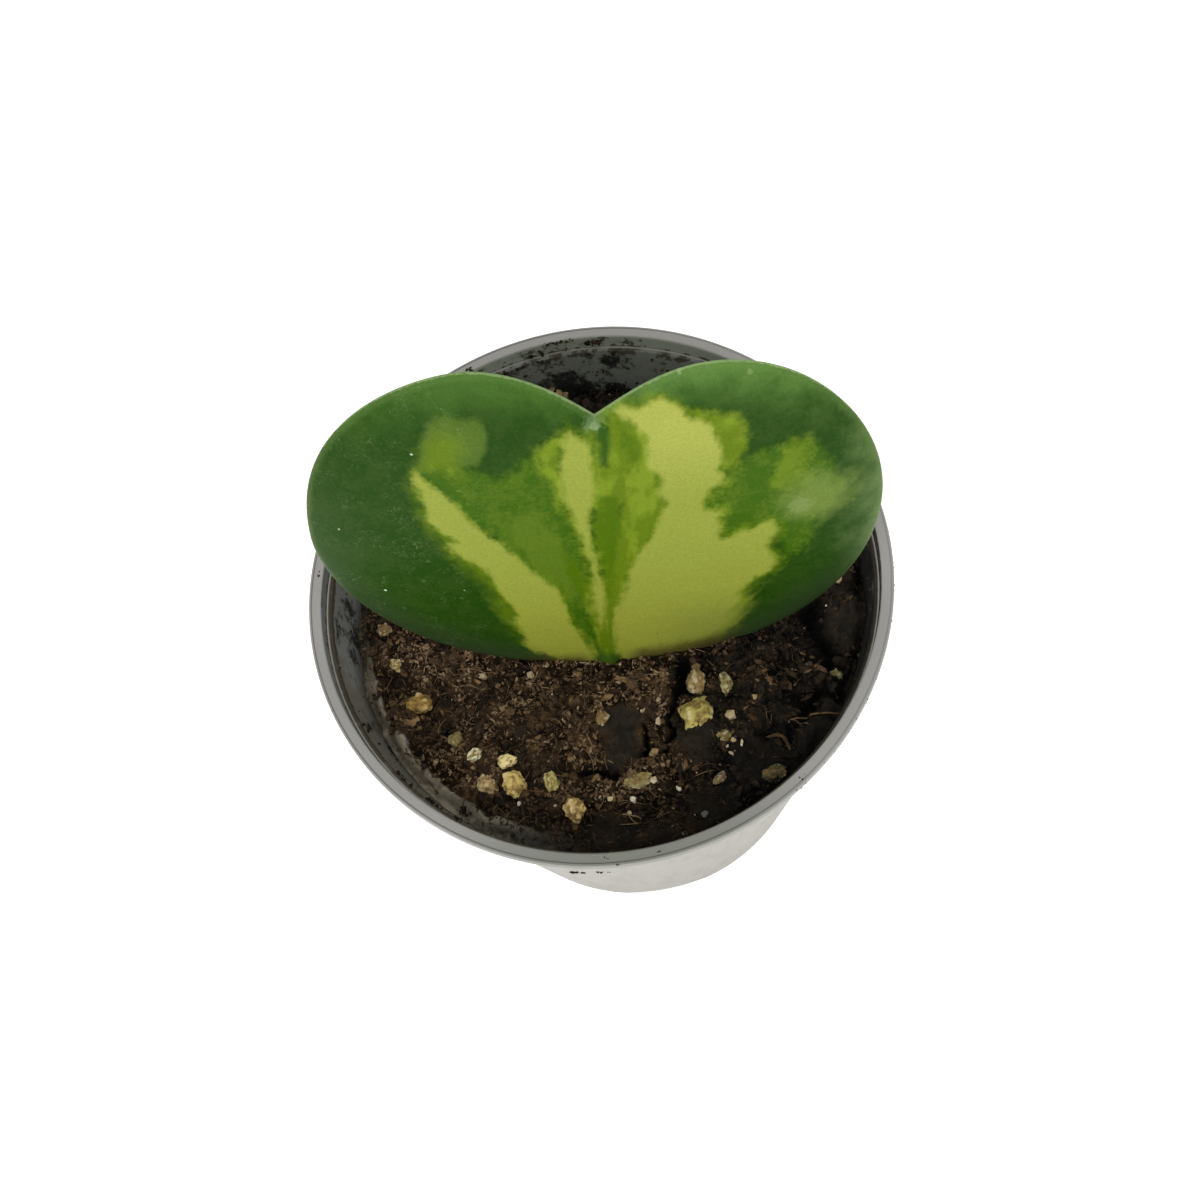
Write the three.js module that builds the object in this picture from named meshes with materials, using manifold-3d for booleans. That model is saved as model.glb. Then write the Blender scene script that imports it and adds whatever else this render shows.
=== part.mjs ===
// One rooted heart leaf of a variegated hoya in a small nursery pot, in millimetres.
// Z is up. The origin is the centre of the pot's foot, on the surface the pot stands on.
// The leaf faces -Y, leans back towards +Y and stands in a plain hole in the soil.

import * as THREE from "three";
import { mergeVertices } from "three/addons/utils/BufferGeometryUtils.js";
import Module from "manifold-3d";

const wasm = await Module();
wasm.setup();

// Clearance between pieces that touch on the real plant.
const seatGap = 0.3;

// The pot: one thin moulding with a flat lip, an inner ledge under it and a raised floor.
const pot = {
  height: 46,
  lipRadius: 30,
  lipWidth: 1.3,
  lipDrop: 1.1,
  collarDepth: 1.9,
  wall: 0.7,
  footRadius: 19.9,
  footWidth: 1.2,
  floorRise: 2,
  taper: 0.2015,
  edgeRound: 0.25,
  draft: 0.1,
  floorRound: 0.6,
  sides: 84,
};

// Arches through the standing ring and holes in the raised floor let water out.
const arches = { count: 6, width: 9, height: 1.6, firstAngle: 266, inward: 3, outward: 1.2 };
const drainHoles = { count: 6, radius: 1.9, ring: 13.5, sides: 18 };

// The soil fills the pot to a little below the lip. Its side starts at the shoulder, under the lowest hollow,
// and follows the wall down to the toe, where it turns in to the pot's floor.
const soil = { drop: 6.5, shoulder: 2.5, toeRise: 0.9, toeIn: 0.7, sides: 80, rings: 24, waveHeight: 0.18 };

// Clods and mounds rise from the soil and hollows sink into it: centre, radius and rise.
const soilForms = [
  { x: -10, y: -11.5, radius: 7.6, rise: 1.5 },
  { x: -19, y: -0.5, radius: 4.6, rise: 1.0 },
  { x: 2, y: -10, radius: 3.1, rise: 1.0 },
  { x: -2, y: -15.2, radius: 3.0, rise: -1.0 },
  { x: 5.3, y: -18, radius: 2.7, rise: 1.1 },
  { x: -11, y: -20.5, radius: 3.6, rise: 0.6 },
  { x: 14, y: -9.5, radius: 4.6, rise: 0.8 },
  { x: 24, y: -8, radius: 3.1, rise: 0.9 },
  { x: 16.5, y: -20, radius: 3.2, rise: 0.6 },
  { x: 2, y: -25.5, radius: 5.6, rise: -1.4 },
  { x: -3.5, y: 7.5, radius: 3.6, rise: 1.2 },
  { x: 12, y: 17, radius: 6, rise: 0.8 },
  { x: -13, y: 14, radius: 6.5, rise: 0.7 },
];

// Small clods lie all over the soil: how many, how far out, their least size and how much that varies.
const smallClods = {
  count: 90,
  reach: 26,
  turnSpread: 0.5,
  radius: 1.2,
  radiusSpread: 1.3,
  rise: 0.25,
  riseSpread: 0.55,
};

// Cracks between the clods: both ends, half width and depth.
const soilCracks = [
  { from: [4.9, -9], to: [4.4, -13.5], halfWidth: 0.8, depth: 1.3 },
  { from: [20.8, -5], to: [21.4, -14], halfWidth: 0.9, depth: 1.6 },
  { from: [-5.5, -18.4], to: [1.6, -18.6], halfWidth: 0.8, depth: 0.8 },
];

// The leaf stands on the soil line at foot, turned about Z, leaning back and tilted in its own plane.
const leafPlace = { x: -1.1, y: -6.2, turn: -10.2, lean: 14, tilt: 3.9 };

// Leaf sizes in its own frame: u across, v up from the soil line, w out of the front face.
const leaf = {
  thickness: 2.7,
  thinning: 0.12,
  marginPower: 9,
  middle: [0, 20],
  halfSpan: 27,
  halfHeight: 24,
  crossBend: 2.2,
  lengthBend: 1.4,
};

// The outline of the blade, from the notch over each crown and side down to the foot.
const notch = [0.5, 37];
const bladeFoot = [0, -1];
const leftLobe = {
  crown: [-10.6, 42.6],
  side: [-27.9, 20.3],
  notchHandle: [-2.2, 2.0],
  crownIn: 5,
  crownOut: 3.4,
  sideUp: 18.2,
  sideDown: 7.3,
  footHandle: [-21.2, 0],
};
const rightLobe = {
  crown: [11.5, 42.1],
  side: [27.5, 21.9],
  notchHandle: [2.5, 1.7],
  crownIn: 5,
  crownOut: 8.8,
  sideUp: 10.4,
  sideDown: 9.6,
  footHandle: [21.6, 0],
};
const curveSteps = 12;

// Rows of the blade's skin from the middle to the margin, as shares of the way out.
const bladeRows = [0.35, 0.62, 0.8, 0.9, 0.96, 0.99];

// The petiole runs from inside the midrib down to a rounded callus in the soil: its ends as v and w,
// and its radius at heights above the lower end.
const petiole = { top: [7, -0.5], bottom: [-16, -2.6], sides: 20 };
const petioleRadii = [
  { height: 0.35, radius: 1.2 },
  { height: 1.5, radius: 1.95 },
  { height: 2.7, radius: 1.9 },
  { height: 5, radius: 1.7 },
  { height: 14, radius: 1.6 },
  { height: 22.7, radius: 0.7 },
];

// Perlite and pumice grains half sunk in the soil: place, length across X and Y, turn and colour.
const grains = [
  { at: [-21.1, -5.3], size: [2.7, 2.4], turn: 10, color: 0xb08a4a },
  { at: [-18.3, -10.3], size: [1.4, 1.7], turn: 35, color: 0xa8965c },
  { at: [-16.7, -12.8], size: [1.7, 1.3], turn: -40, color: 0xcdc39b },
  { at: [-16.2, -16.0], size: [1.9, 2.3], turn: 15, color: 0xb39467 },
  { at: [-13.5, -14.4], size: [1.8, 1.3], turn: 0, color: 0xd3bf86 },
  { at: [-13.5, -17.1], size: [2.3, 3.1], turn: 20, color: 0xc2a560 },
  { at: [-9.65, -18.0], size: [1.5, 2.1], turn: 0, color: 0xa5985a },
  { at: [-8.2, -21.2], size: [2.2, 2.7], turn: 25, color: 0xcaa765 },
  { at: [-3.2, -12.2], size: [1.5, 1.8], turn: -25, color: 0xa98a5e },
  { at: [-1.4, -19.6], size: [2.8, 1.5], turn: 10, color: 0xb3a06c },
  { at: [7.15, -11.0], size: [1.9, 2.7], turn: 0, color: 0xb59668 },
  { at: [6.35, -14.7], size: [3.8, 3.5], turn: 0, color: 0xc8b56a },
  { at: [9.9, -12.1], size: [1.6, 2.6], turn: 10, color: 0xa9a06b },
  { at: [8.2, -17.5], size: [1.7, 1.5], turn: 0, color: 0xa0935a },
  { at: [6.7, -21.5], size: [1.6, 1.2], turn: 20, color: 0x9b8266 },
  { at: [21.1, -14.0], size: [1.3, 1.6], turn: 30, color: 0x9c9658 },
  { at: [12.1, -22.6], size: [3.0, 1.6], turn: 25, color: 0x6f6a44 },
  { at: [24.1, -3.8], size: [1.5, 1.5], turn: 0, color: 0xa98f68 },
  { at: [-22.5, -1.0], size: [1.1, 1.6], turn: 20, color: 0xa5955c },
  { at: [-23.0, 3.8], size: [1.6, 1.4], turn: 0, color: 0xa58b62 },
];
const grainForm = { thickness: 0.8, rise: 0.12, lump: 0.13, detail: 1 };

const mergeDistance = 1e-3;
const radians = THREE.MathUtils.degToRad;
const soilLevel = pot.height - soil.drop;

// A closed skin over a stack of loops with equal counts of points, from one pole to the other.
function skinOf(startPole, loops, endPole) {
  const count = loops[0].length;
  const points = [startPole, ...loops.flat(), endPole];
  const corner = (loop, i) => 1 + loop * count + (i % count);
  const faces = [];
  for (let i = 0; i < count; i += 1) {
    faces.push(0, corner(0, i), corner(0, i + 1));
    for (let loop = 1; loop < loops.length; loop += 1) {
      faces.push(corner(loop - 1, i), corner(loop, i), corner(loop, i + 1));
      faces.push(corner(loop - 1, i), corner(loop, i + 1), corner(loop - 1, i + 1));
    }
    faces.push(corner(loops.length - 1, i), points.length - 1, corner(loops.length - 1, i + 1));
  }
  const geometry = new THREE.BufferGeometry().setFromPoints(points);
  geometry.setIndex(faces);
  return geometry;
}

// A closed geometry as a solid: shared corners are merged and collapsed faces are dropped.
function solidOf(geometry) {
  const bare = new THREE.BufferGeometry();
  bare.setAttribute("position", geometry.getAttribute("position"));
  bare.setIndex(geometry.getIndex());
  const merged = mergeVertices(bare, mergeDistance);
  const corners = merged.getIndex().array;
  const kept = [];
  for (let i = 0; i < corners.length; i += 3) {
    const [a, b, c] = corners.slice(i, i + 3);
    if (a !== b && b !== c && c !== a) {
      kept.push(a, b, c);
    }
  }
  const vertProperties = merged.getAttribute("position").array;
  return new wasm.Manifold(new wasm.Mesh({ numProp: 3, vertProperties, triVerts: new Uint32Array(kept) }));
}

function geometryOf(solid) {
  const mesh = solid.getMesh();
  const geometry = new THREE.BufferGeometry();
  geometry.setAttribute("position", new THREE.BufferAttribute(mesh.vertProperties, 3));
  geometry.setIndex(new THREE.BufferAttribute(mesh.triVerts, 1));
  geometry.computeVertexNormals();
  return geometry;
}

function namedMesh(name, geometry, color, roughness) {
  const mesh = new THREE.Mesh(geometry, new THREE.MeshStandardMaterial({ color, roughness, metalness: 0 }));
  mesh.name = name;
  return mesh;
}

// The shape of a mesh where it stands in the whole plant.
function placedGeometry(mesh) {
  mesh.updateWorldMatrix(true, false);
  return mesh.geometry.clone().applyMatrix4(mesh.matrixWorld);
}

// Pot ---------------------------------------------------------------------------------------

function outerWallRadius(z) {
  return pot.footRadius + pot.taper * z;
}

// The wall is this wide along the radius, so that it is pot.wall thick across its slope.
const wallAcross = pot.wall * Math.hypot(1, pot.taper);

function innerWallRadius(z) {
  return outerWallRadius(z) - wallAcross;
}

// Radius and height round the section, from the axis under the floor, out, up, over the lip and back.
function potSection() {
  const { height, lipRadius, edgeRound, draft, floorRound, wall, floorRise, footRadius } = pot;
  const mouth = lipRadius - pot.lipWidth;
  const ledge = height - pot.collarDepth;
  const collarOut = mouth + wall - draft;
  const skirtFoot = height - pot.lipDrop;
  const floorTop = floorRise + wall;
  const footIn = footRadius - pot.footWidth;
  return [
    [0, floorRise],
    [footIn - draft, floorRise],
    [footIn, edgeRound],
    [footIn + edgeRound / 2, 0],
    [footRadius - edgeRound / 2, 0],
    [outerWallRadius(edgeRound), edgeRound],
    [outerWallRadius(ledge - wall), ledge - wall],
    [collarOut - draft, ledge],
    [collarOut, skirtFoot],
    [lipRadius - edgeRound / 2, skirtFoot],
    [lipRadius, skirtFoot + edgeRound / 2],
    [lipRadius, height - edgeRound],
    [lipRadius - edgeRound / 3, height - edgeRound / 3],
    [lipRadius - edgeRound, height],
    [mouth + edgeRound / 2, height],
    [mouth, height - edgeRound / 2],
    [mouth - draft, ledge + edgeRound],
    [innerWallRadius(ledge) + draft, ledge],
    [innerWallRadius(ledge - edgeRound), ledge - edgeRound],
    [innerWallRadius(floorTop + floorRound), floorTop + floorRound],
    [innerWallRadius(floorTop) - floorRound, floorTop],
    [0, floorTop],
  ].map(([radius, z]) => new THREE.Vector2(radius, z));
}

function archCutter(angle) {
  const outline = new THREE.Shape();
  outline.moveTo(-arches.width / 2, -arches.height);
  outline.lineTo(arches.width / 2, -arches.height);
  outline.absellipse(0, 0, arches.width / 2, arches.height, 0, Math.PI);
  const depth = arches.inward + arches.outward;
  const geometry = new THREE.ExtrudeGeometry(outline, { depth, bevelEnabled: false });
  geometry.rotateX(Math.PI / 2);
  geometry.translate(0, pot.footRadius + arches.outward, 0);
  geometry.rotateZ(radians(angle - 90));
  return solidOf(geometry);
}

function drainCutter(angle, ring) {
  const { radius, sides } = drainHoles;
  const geometry = new THREE.CylinderGeometry(radius, radius, 3 * pot.wall, sides);
  geometry.rotateX(Math.PI / 2);
  geometry.translate(ring, 0, pot.floorRise + pot.wall / 2);
  geometry.rotateZ(radians(angle));
  return solidOf(geometry);
}

function potGeometry() {
  const turned = new THREE.LatheGeometry(potSection(), pot.sides);
  turned.rotateX(Math.PI / 2);
  let body = solidOf(turned);
  for (let i = 0; i < arches.count; i += 1) {
    body = body.subtract(archCutter(arches.firstAngle + (i * 360) / arches.count));
  }
  for (let i = 0; i < drainHoles.count; i += 1) {
    body = body.subtract(drainCutter(arches.firstAngle + (i * 360) / drainHoles.count, drainHoles.ring));
  }
  return geometryOf(body.subtract(drainCutter(0, 0)));
}

// Leaf --------------------------------------------------------------------------------------

// One half of the outline: notch, crown, side and foot joined by three curves.
function lobeCurves(lobe) {
  const away = Math.sign(lobe.side[0]);
  const stretches = [
    [notch, lobe.notchHandle, [-away * lobe.crownIn, 0], lobe.crown],
    [lobe.crown, [away * lobe.crownOut, 0], [0, lobe.sideUp], lobe.side],
    [lobe.side, [0, -lobe.sideDown], lobe.footHandle, bladeFoot],
  ];
  return stretches.map(([start, leave, arrive, end]) => {
    const from = new THREE.Vector2(...start);
    const to = new THREE.Vector2(...end);
    const first = new THREE.Vector2(...leave).add(from);
    const second = new THREE.Vector2(...arrive).add(to);
    return new THREE.CubicBezierCurve(from, first, second, to);
  });
}

// The whole outline, from the notch down the left lobe and up the right one.
function bladeOutline() {
  const left = lobeCurves(leftLobe).flatMap((curve) => curve.getPoints(curveSteps).slice(0, -1));
  const right = lobeCurves(rightLobe).flatMap((curve) => curve.getPoints(curveSteps).slice(1));
  return [...left, ...right.toReversed()];
}

// The blade bends back towards its margins like a shallow saddle turned down.
function bladeBend(u, v) {
  const across = u / leaf.halfSpan;
  const along = (v - leaf.middle[1]) / leaf.halfHeight;
  return -leaf.crossBend * across ** 2 - leaf.lengthBend * along ** 2;
}

// Half the thickness at a share of the way out: thickest in the middle, round at the margin.
function bladeHalf(share) {
  return (leaf.thickness / 2) * (1 - leaf.thinning * share ** 2) * Math.sqrt(1 - share ** leaf.marginPower);
}

// The blade as a closed skin, swollen by grow all round for the hole it stands in.
function bladeGeometry(grow) {
  const [middleU, middleV] = leaf.middle;
  const outline = bladeOutline();
  const loopAt = (share, face) =>
    outline.map(({ x, y }) => {
      const reach = Math.hypot(x - middleU, y - middleV);
      const stretch = share * (1 + grow / reach);
      const u = middleU + stretch * (x - middleU);
      const v = middleV + stretch * (y - middleV);
      return new THREE.Vector3(u, v, bladeBend(u, v) + face * (bladeHalf(share) + (share < 1 ? grow : 0)));
    });
  const pole = (face) => new THREE.Vector3(middleU, middleV, face * (leaf.thickness / 2 + grow));
  const front = bladeRows.map((share) => loopAt(share, 1));
  const back = bladeRows.toReversed().map((share) => loopAt(share, -1));
  return skinOf(pole(1), [...front, loopAt(1, 1), ...back], pole(-1));
}

// The petiole is turned round its own axis and laid along the midrib's line into the soil.
function petioleGeometry(grow) {
  const rise = petiole.top[0] - petiole.bottom[0];
  const forward = petiole.top[1] - petiole.bottom[1];
  const section = [
    new THREE.Vector2(0, -grow),
    ...petioleRadii.map(({ height, radius }) => new THREE.Vector2(radius + grow, height)),
    new THREE.Vector2(0, Math.hypot(rise, forward)),
  ];
  const geometry = new THREE.LatheGeometry(section, petiole.sides);
  geometry.rotateX(Math.atan2(forward, rise));
  geometry.translate(0, ...petiole.bottom);
  return geometry;
}

function leafGeometry(grow) {
  return geometryOf(solidOf(bladeGeometry(grow)).add(solidOf(petioleGeometry(grow))));
}

// Soil --------------------------------------------------------------------------------------

function distanceToLine(x, y, [fromX, fromY], [toX, toY]) {
  const alongX = toX - fromX;
  const alongY = toY - fromY;
  const share = ((x - fromX) * alongX + (y - fromY) * alongY) / (alongX ** 2 + alongY ** 2);
  const held = THREE.MathUtils.clamp(share, 0, 1);
  return Math.hypot(x - fromX - held * alongX, y - fromY - held * alongY);
}

// A share between 0 and 1 that looks random and is the same each time.
function drawn(i, stream) {
  const value = Math.sin(12.9898 * (i + 1) + 78.233 * stream) * 43758.5453;
  return value - Math.floor(value);
}

// Small clods on a sunflower spiral, each moved, sized and raised by its own draws.
const goldenAngle = Math.PI * (3 - Math.sqrt(5));
const scatteredClods = Array.from({ length: smallClods.count }, (_, i) => {
  const reach = smallClods.reach * Math.sqrt((i + drawn(i, 1)) / smallClods.count);
  const angle = i * goldenAngle + smallClods.turnSpread * drawn(i, 2);
  const radius = smallClods.radius + smallClods.radiusSpread * drawn(i, 3) ** 2;
  const rise = smallClods.rise + smallClods.riseSpread * drawn(i, 4);
  return { x: reach * Math.cos(angle), y: reach * Math.sin(angle), radius, rise };
});

// Height of the soil: the mean level, with its clods, hollows and cracks and a fine waviness.
function soilHeight(x, y) {
  let height = soilLevel;
  for (const form of [...soilForms, ...scatteredClods]) {
    const share = Math.hypot(x - form.x, y - form.y) / form.radius;
    height += form.rise * Math.exp(-(share ** 4));
  }
  for (const crack of soilCracks) {
    const share = distanceToLine(x, y, crack.from, crack.to) / crack.halfWidth;
    height -= crack.depth * Math.exp(-(share ** 2));
  }
  const waves = Math.sin(1.9 * x + 0.8 * y) * Math.sin(1.6 * y - 0.7 * x + 1);
  return height + soil.waveHeight * waves;
}

function soilGeometry() {
  const loopAt = (radius, heightAt) =>
    Array.from({ length: soil.sides }, (_, i) => {
      const angle = (i / soil.sides) * 2 * Math.PI;
      const x = radius * Math.cos(angle);
      const y = radius * Math.sin(angle);
      return new THREE.Vector3(x, y, heightAt(x, y));
    });
  // A loop against the pot's wall, a seat gap clear of it.
  const wallLoopAt = (height) => loopAt(innerWallRadius(height) - seatGap, () => height);
  const ringWidth = (innerWallRadius(soilLevel) - seatGap) / soil.rings;
  const rings = Array.from({ length: soil.rings }, (_, i) => loopAt(ringWidth * (i + 1), soilHeight));
  const bottom = pot.floorRise + pot.wall + seatGap;
  const bottomLoop = loopAt(innerWallRadius(bottom) - seatGap - soil.toeIn, () => bottom);
  const side = [wallLoopAt(soilLevel - soil.shoulder), wallLoopAt(bottom + soil.toeRise), bottomLoop];
  const middle = new THREE.Vector3(0, 0, soilHeight(0, 0));
  return skinOf(middle, [...rings, ...side], new THREE.Vector3(0, 0, bottom));
}

// Grains ------------------------------------------------------------------------------------

// A lumpy pebble of the given size, with its own lumps for each seed, swollen by grow.
function grainGeometry(size, seed, grow) {
  const geometry = new THREE.IcosahedronGeometry(1, grainForm.detail);
  const thickness = grainForm.thickness * Math.min(...size);
  const half = [size[0] / 2 + grow, size[1] / 2 + grow, thickness / 2 + grow];
  const position = geometry.getAttribute("position");
  const point = new THREE.Vector3();
  for (let i = 0; i < position.count; i += 1) {
    point.fromBufferAttribute(position, i);
    const coarse = Math.sin(2.6 * point.x + seed) * Math.sin(2.9 * point.y + 2 * seed);
    const fine = Math.sin(4.1 * point.z + 3 * seed) * Math.sin(3.7 * point.x - seed);
    point.multiplyScalar(1 + grainForm.lump * (coarse + 0.6 * fine));
    position.setXYZ(i, point.x * half[0], point.y * half[1], point.z * half[2]);
  }
  return geometry;
}

function placeGrain(mesh, grain) {
  const [x, y] = grain.at;
  mesh.position.set(x, y, soilHeight(x, y) + grainForm.rise * Math.min(...grain.size));
  mesh.rotation.z = radians(grain.turn);
}

// The whole plant ---------------------------------------------------------------------------

const plant = new THREE.Group();
plant.add(namedMesh("pot", potGeometry(), 0xb4b4aa, 0.45));

// Everything in this group is turned with the leaf about its foot.
const leafStand = new THREE.Group();
leafStand.position.set(leafPlace.x, leafPlace.y, soilLevel);
leafStand.rotation.z = radians(leafPlace.turn);
plant.add(leafStand);

function leafMesh(name, grow) {
  const mesh = namedMesh(name, leafGeometry(grow), 0x3f6a22, 0.42);
  mesh.rotation.set(radians(90 - leafPlace.lean), 0, radians(-leafPlace.tilt));
  leafStand.add(mesh);
  return mesh;
}

leafMesh("leaf", 0);

// The leaf's hole and a socket for each grain are cut from the soil with the same forms, swollen.
const leafHole = leafMesh("leaf_hole", seatGap);
let soilBody = solidOf(soilGeometry()).subtract(solidOf(placedGeometry(leafHole)));
leafHole.removeFromParent();

grains.forEach((grain, i) => {
  const name = `perlite_grain_${String(i + 1).padStart(2, "0")}`;
  const mesh = namedMesh(name, geometryOf(solidOf(grainGeometry(grain.size, i, 0))), grain.color, 0.9);
  placeGrain(mesh, grain);
  plant.add(mesh);
  const socket = new THREE.Mesh(grainGeometry(grain.size, i, seatGap));
  placeGrain(socket, grain);
  soilBody = soilBody.subtract(solidOf(placedGeometry(socket)));
});

plant.add(namedMesh("soil", geometryOf(soilBody), 0x2c2116, 0.95));

export default plant;
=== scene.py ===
import math

import bpy
import numpy as np
from mathutils import Matrix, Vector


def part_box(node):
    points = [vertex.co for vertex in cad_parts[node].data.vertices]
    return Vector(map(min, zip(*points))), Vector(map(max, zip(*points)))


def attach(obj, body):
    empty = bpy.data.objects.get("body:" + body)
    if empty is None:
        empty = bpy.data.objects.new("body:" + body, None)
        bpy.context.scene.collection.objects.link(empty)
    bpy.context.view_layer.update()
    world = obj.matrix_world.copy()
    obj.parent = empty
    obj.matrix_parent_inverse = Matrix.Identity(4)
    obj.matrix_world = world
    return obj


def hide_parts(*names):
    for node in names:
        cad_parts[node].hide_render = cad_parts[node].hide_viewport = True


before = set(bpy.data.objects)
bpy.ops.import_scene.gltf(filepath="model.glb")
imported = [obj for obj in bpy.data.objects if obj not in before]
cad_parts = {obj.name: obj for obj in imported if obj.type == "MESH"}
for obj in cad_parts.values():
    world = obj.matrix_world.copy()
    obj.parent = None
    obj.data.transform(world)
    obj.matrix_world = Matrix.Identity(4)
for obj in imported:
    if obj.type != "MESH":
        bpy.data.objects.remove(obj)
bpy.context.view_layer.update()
mm = 0.001  # every size below is in millimetres and becomes metres as its mesh is made

# Camera.

camera = {
    "aim": (-0.256, -2.06, 46.0),  # the point in the middle of the picture
    "distance": 220.0,
    "elevation": 65.93,
    "roll": -15.08,
    "focalPixels": 2165.0,  # focal length in pixels of the picture
    "framePixels": 1200.0,
    "sensorWidth": 36.0,
}


# Puts a camera or a lamp into the scene at a place in metres, looking against away.
def standAt(thing, side, up, away, place):
    bpy.context.scene.collection.objects.link(thing)
    turned = np.eye(4)
    turned[:3, :3] = np.stack([side, up, away], axis=1)
    turned[:3, 3] = place
    thing.matrix_world = Matrix(turned.tolist())


# The camera looks down on its aim from the front, then rolls about its line of sight.
def makeCamera():
    elevation = math.radians(camera["elevation"])
    roll = math.radians(camera["roll"])
    away = np.array([0.0, -math.cos(elevation), math.sin(elevation)])
    level = np.array([1.0, 0.0, 0.0])
    upright = np.cross(level, -away)
    across = level * math.cos(roll) + upright * math.sin(roll)
    up = upright * math.cos(roll) - level * math.sin(roll)
    place = (np.array(camera["aim"]) + camera["distance"] * away) * mm
    data = bpy.data.cameras.new("camera")
    data.sensor_width = camera["sensorWidth"]
    data.lens = camera["sensorWidth"] * camera["focalPixels"] / camera["framePixels"]
    data.clip_start = 0.005
    eye = bpy.data.objects.new("camera", data)
    standAt(eye, across, up, away, place)
    bpy.context.scene.camera = eye


makeCamera()
print("camera placed")

# Shared sums.


# How far value has come from low to high, held between 0 and 1 and eased at both ends.
def eased(value, low, high):
    part = np.clip((value - low) / (high - low), 0, 1)
    return part * part * (3 - 2 * part)


largeSine = 43758.5453  # what a sine is multiplied by for its fraction to look drawn at random


# A draw between 0 and 1 for each whole-number place, the same on every run: the fraction of a large sine.
def latticeDraw(i, j, k, stream):
    value = np.sin(i * 127.1 + j * 311.7 + k * 74.7 + stream * 53.9) * largeSine
    return value - np.floor(value)


# Soft noise from -1 to 1: draws at the eight corners of a unit lattice, eased from one to the next.
def softNoise(x, y, z, stream):
    low = [np.floor(value) for value in (x, y, z)]
    part = [eased(value - start, 0, 1) for value, start in zip((x, y, z), low)]
    total = 0
    for corner in range(8):
        steps = (corner & 1, corner >> 1 & 1, corner >> 2)
        weight = 1
        for step, reached in zip(steps, part):
            weight = weight * (reached if step else 1 - reached)
        corners = [start + step for start, step in zip(low, steps)]
        total = total + weight * latticeDraw(*corners, stream)
    return 2 * total - 1


# Soft noise over the soil's plan, with features about size millimetres across.
def flatNoise(x, y, size, stream, level=0):
    return softNoise(x / size, y / size, 0 * x + level, stream)


# A value moved by a wide and a fine noise, so that what is drawn from it wanders. form gives each noise's
# reach and size.
def wandered(value, x, y, form, wideStream, fineStream, level=0):
    (wideReach, wideSize), (fineReach, fineSize) = form
    value = value + wideReach * flatNoise(x, y, wideSize, wideStream, level)
    return value + fineReach * flatNoise(x, y, fineSize, fineStream)


# How far places lie from a centre: the square of their distance over the radius.
def squaredAway(x, y, centreX, centreY, radius):
    return ((x - centreX) ** 2 + (y - centreY) ** 2) / radius**2


# Layers of soft noise, each half as wide and half as high as the one before.
def fractalNoise(x, y, z, size, layers, stream):
    total = 0
    for layer in range(layers):
        scale = 2**layer / size
        total = total + softNoise(x * scale, y * scale, z * scale, stream + layer) / 2**layer
    return total


# Packed crumbs seen from above: one round dome is drawn in each cell, and the highest one counts.
def crumbRelief(x, y, cell, stream):
    column = np.floor(x / cell)
    row = np.floor(y / cell)
    highest = np.zeros_like(x)
    for i in (-1, 0, 1):
        for j in (-1, 0, 1):
            centreX = (column + i + latticeDraw(column + i, row + j, 0, stream)) * cell
            centreY = (row + j + latticeDraw(column + i, row + j, 1, stream)) * cell
            radius = cell * (0.3 + 0.5 * latticeDraw(column + i, row + j, 2, stream))
            away = squaredAway(x, y, centreX, centreY, radius)
            highest = np.maximum(highest, np.sqrt(np.clip(1 - away, 0, 1)) * radius / cell)
    return highest


# Mesh making.


# Faces of a closed skin over rows of points: four-sided between the rows, with a fan round each pole.
# The points come row by row, and then the first and the last pole.
def skinFaces(rows, columns):
    here = np.arange(rows * columns).reshape(rows, columns)
    beside = np.roll(here, -1, axis=1)
    quads = np.stack([here[:-1], here[1:], beside[1:], beside[:-1]], axis=-1).reshape(-1, 4)
    firstPole = np.full(columns, rows * columns)
    firstFan = np.stack([firstPole, here[0], beside[0]], axis=-1)
    lastFan = np.stack([firstPole + 1, beside[-1], here[-1]], axis=-1)
    return quads, np.concatenate([firstFan, lastFan])


# The faces of one skin repeated for count skins, whose points follow each other.
def repeatedFaces(faces, pointsEach, count):
    starts = (np.arange(count) * pointsEach)[:, None, None]
    return (faces[None] + starts).reshape(-1, faces.shape[1])


# Six times the volume inside the faces: the sum of each face's box product, above 0 if they point outwards.
def signedVolume(points, faces):
    first, second, third = (points[faces[:, k]] for k in range(3))
    total = np.einsum("ij,ij->", first, np.cross(second, third))
    if faces.shape[1] == 4:
        total = total + np.einsum("ij,ij->", first, np.cross(third, points[faces[:, 3]]))
    return total


# An object from points in millimetres and its faces, which are turned over if they point inwards.
def makePiece(name, points, quads, triangles, sharpAngle=None):
    middle = points.mean(axis=0)
    volume = sum(signedVolume(points - middle, faces) for faces in (quads, triangles) if len(faces))
    if volume < 0:
        quads = quads[:, ::-1] if len(quads) else quads
        triangles = triangles[:, ::-1] if len(triangles) else triangles
    mesh = bpy.data.meshes.new(name)
    mesh.from_pydata((points * mm).tolist(), [], list(quads.tolist()) + list(triangles.tolist()))
    mesh.shade_smooth()
    if sharpAngle:
        mesh.set_sharp_from_angle(angle=math.radians(sharpAngle))
    piece = bpy.data.objects.new(name, mesh)
    bpy.context.scene.collection.objects.link(piece)
    return piece


# Gives each point of a piece a number, or three numbers, that its material reads by name.
def giveAttribute(piece, name, values):
    flat = np.asarray(values, dtype=np.float32)
    kind, field = ("FLOAT", "value") if flat.ndim == 1 else ("FLOAT_VECTOR", "vector")
    attribute = piece.data.attributes.new(name, kind, "POINT")
    attribute.data.foreach_set(field, flat.ravel())


# The points of a piece in millimetres, as an array.
def pointsOf(piece):
    flat = np.zeros(len(piece.data.vertices) * 3, dtype=np.float32)
    piece.data.vertices.foreach_get("co", flat)
    return flat.reshape(-1, 3).astype(float) / mm


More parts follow.
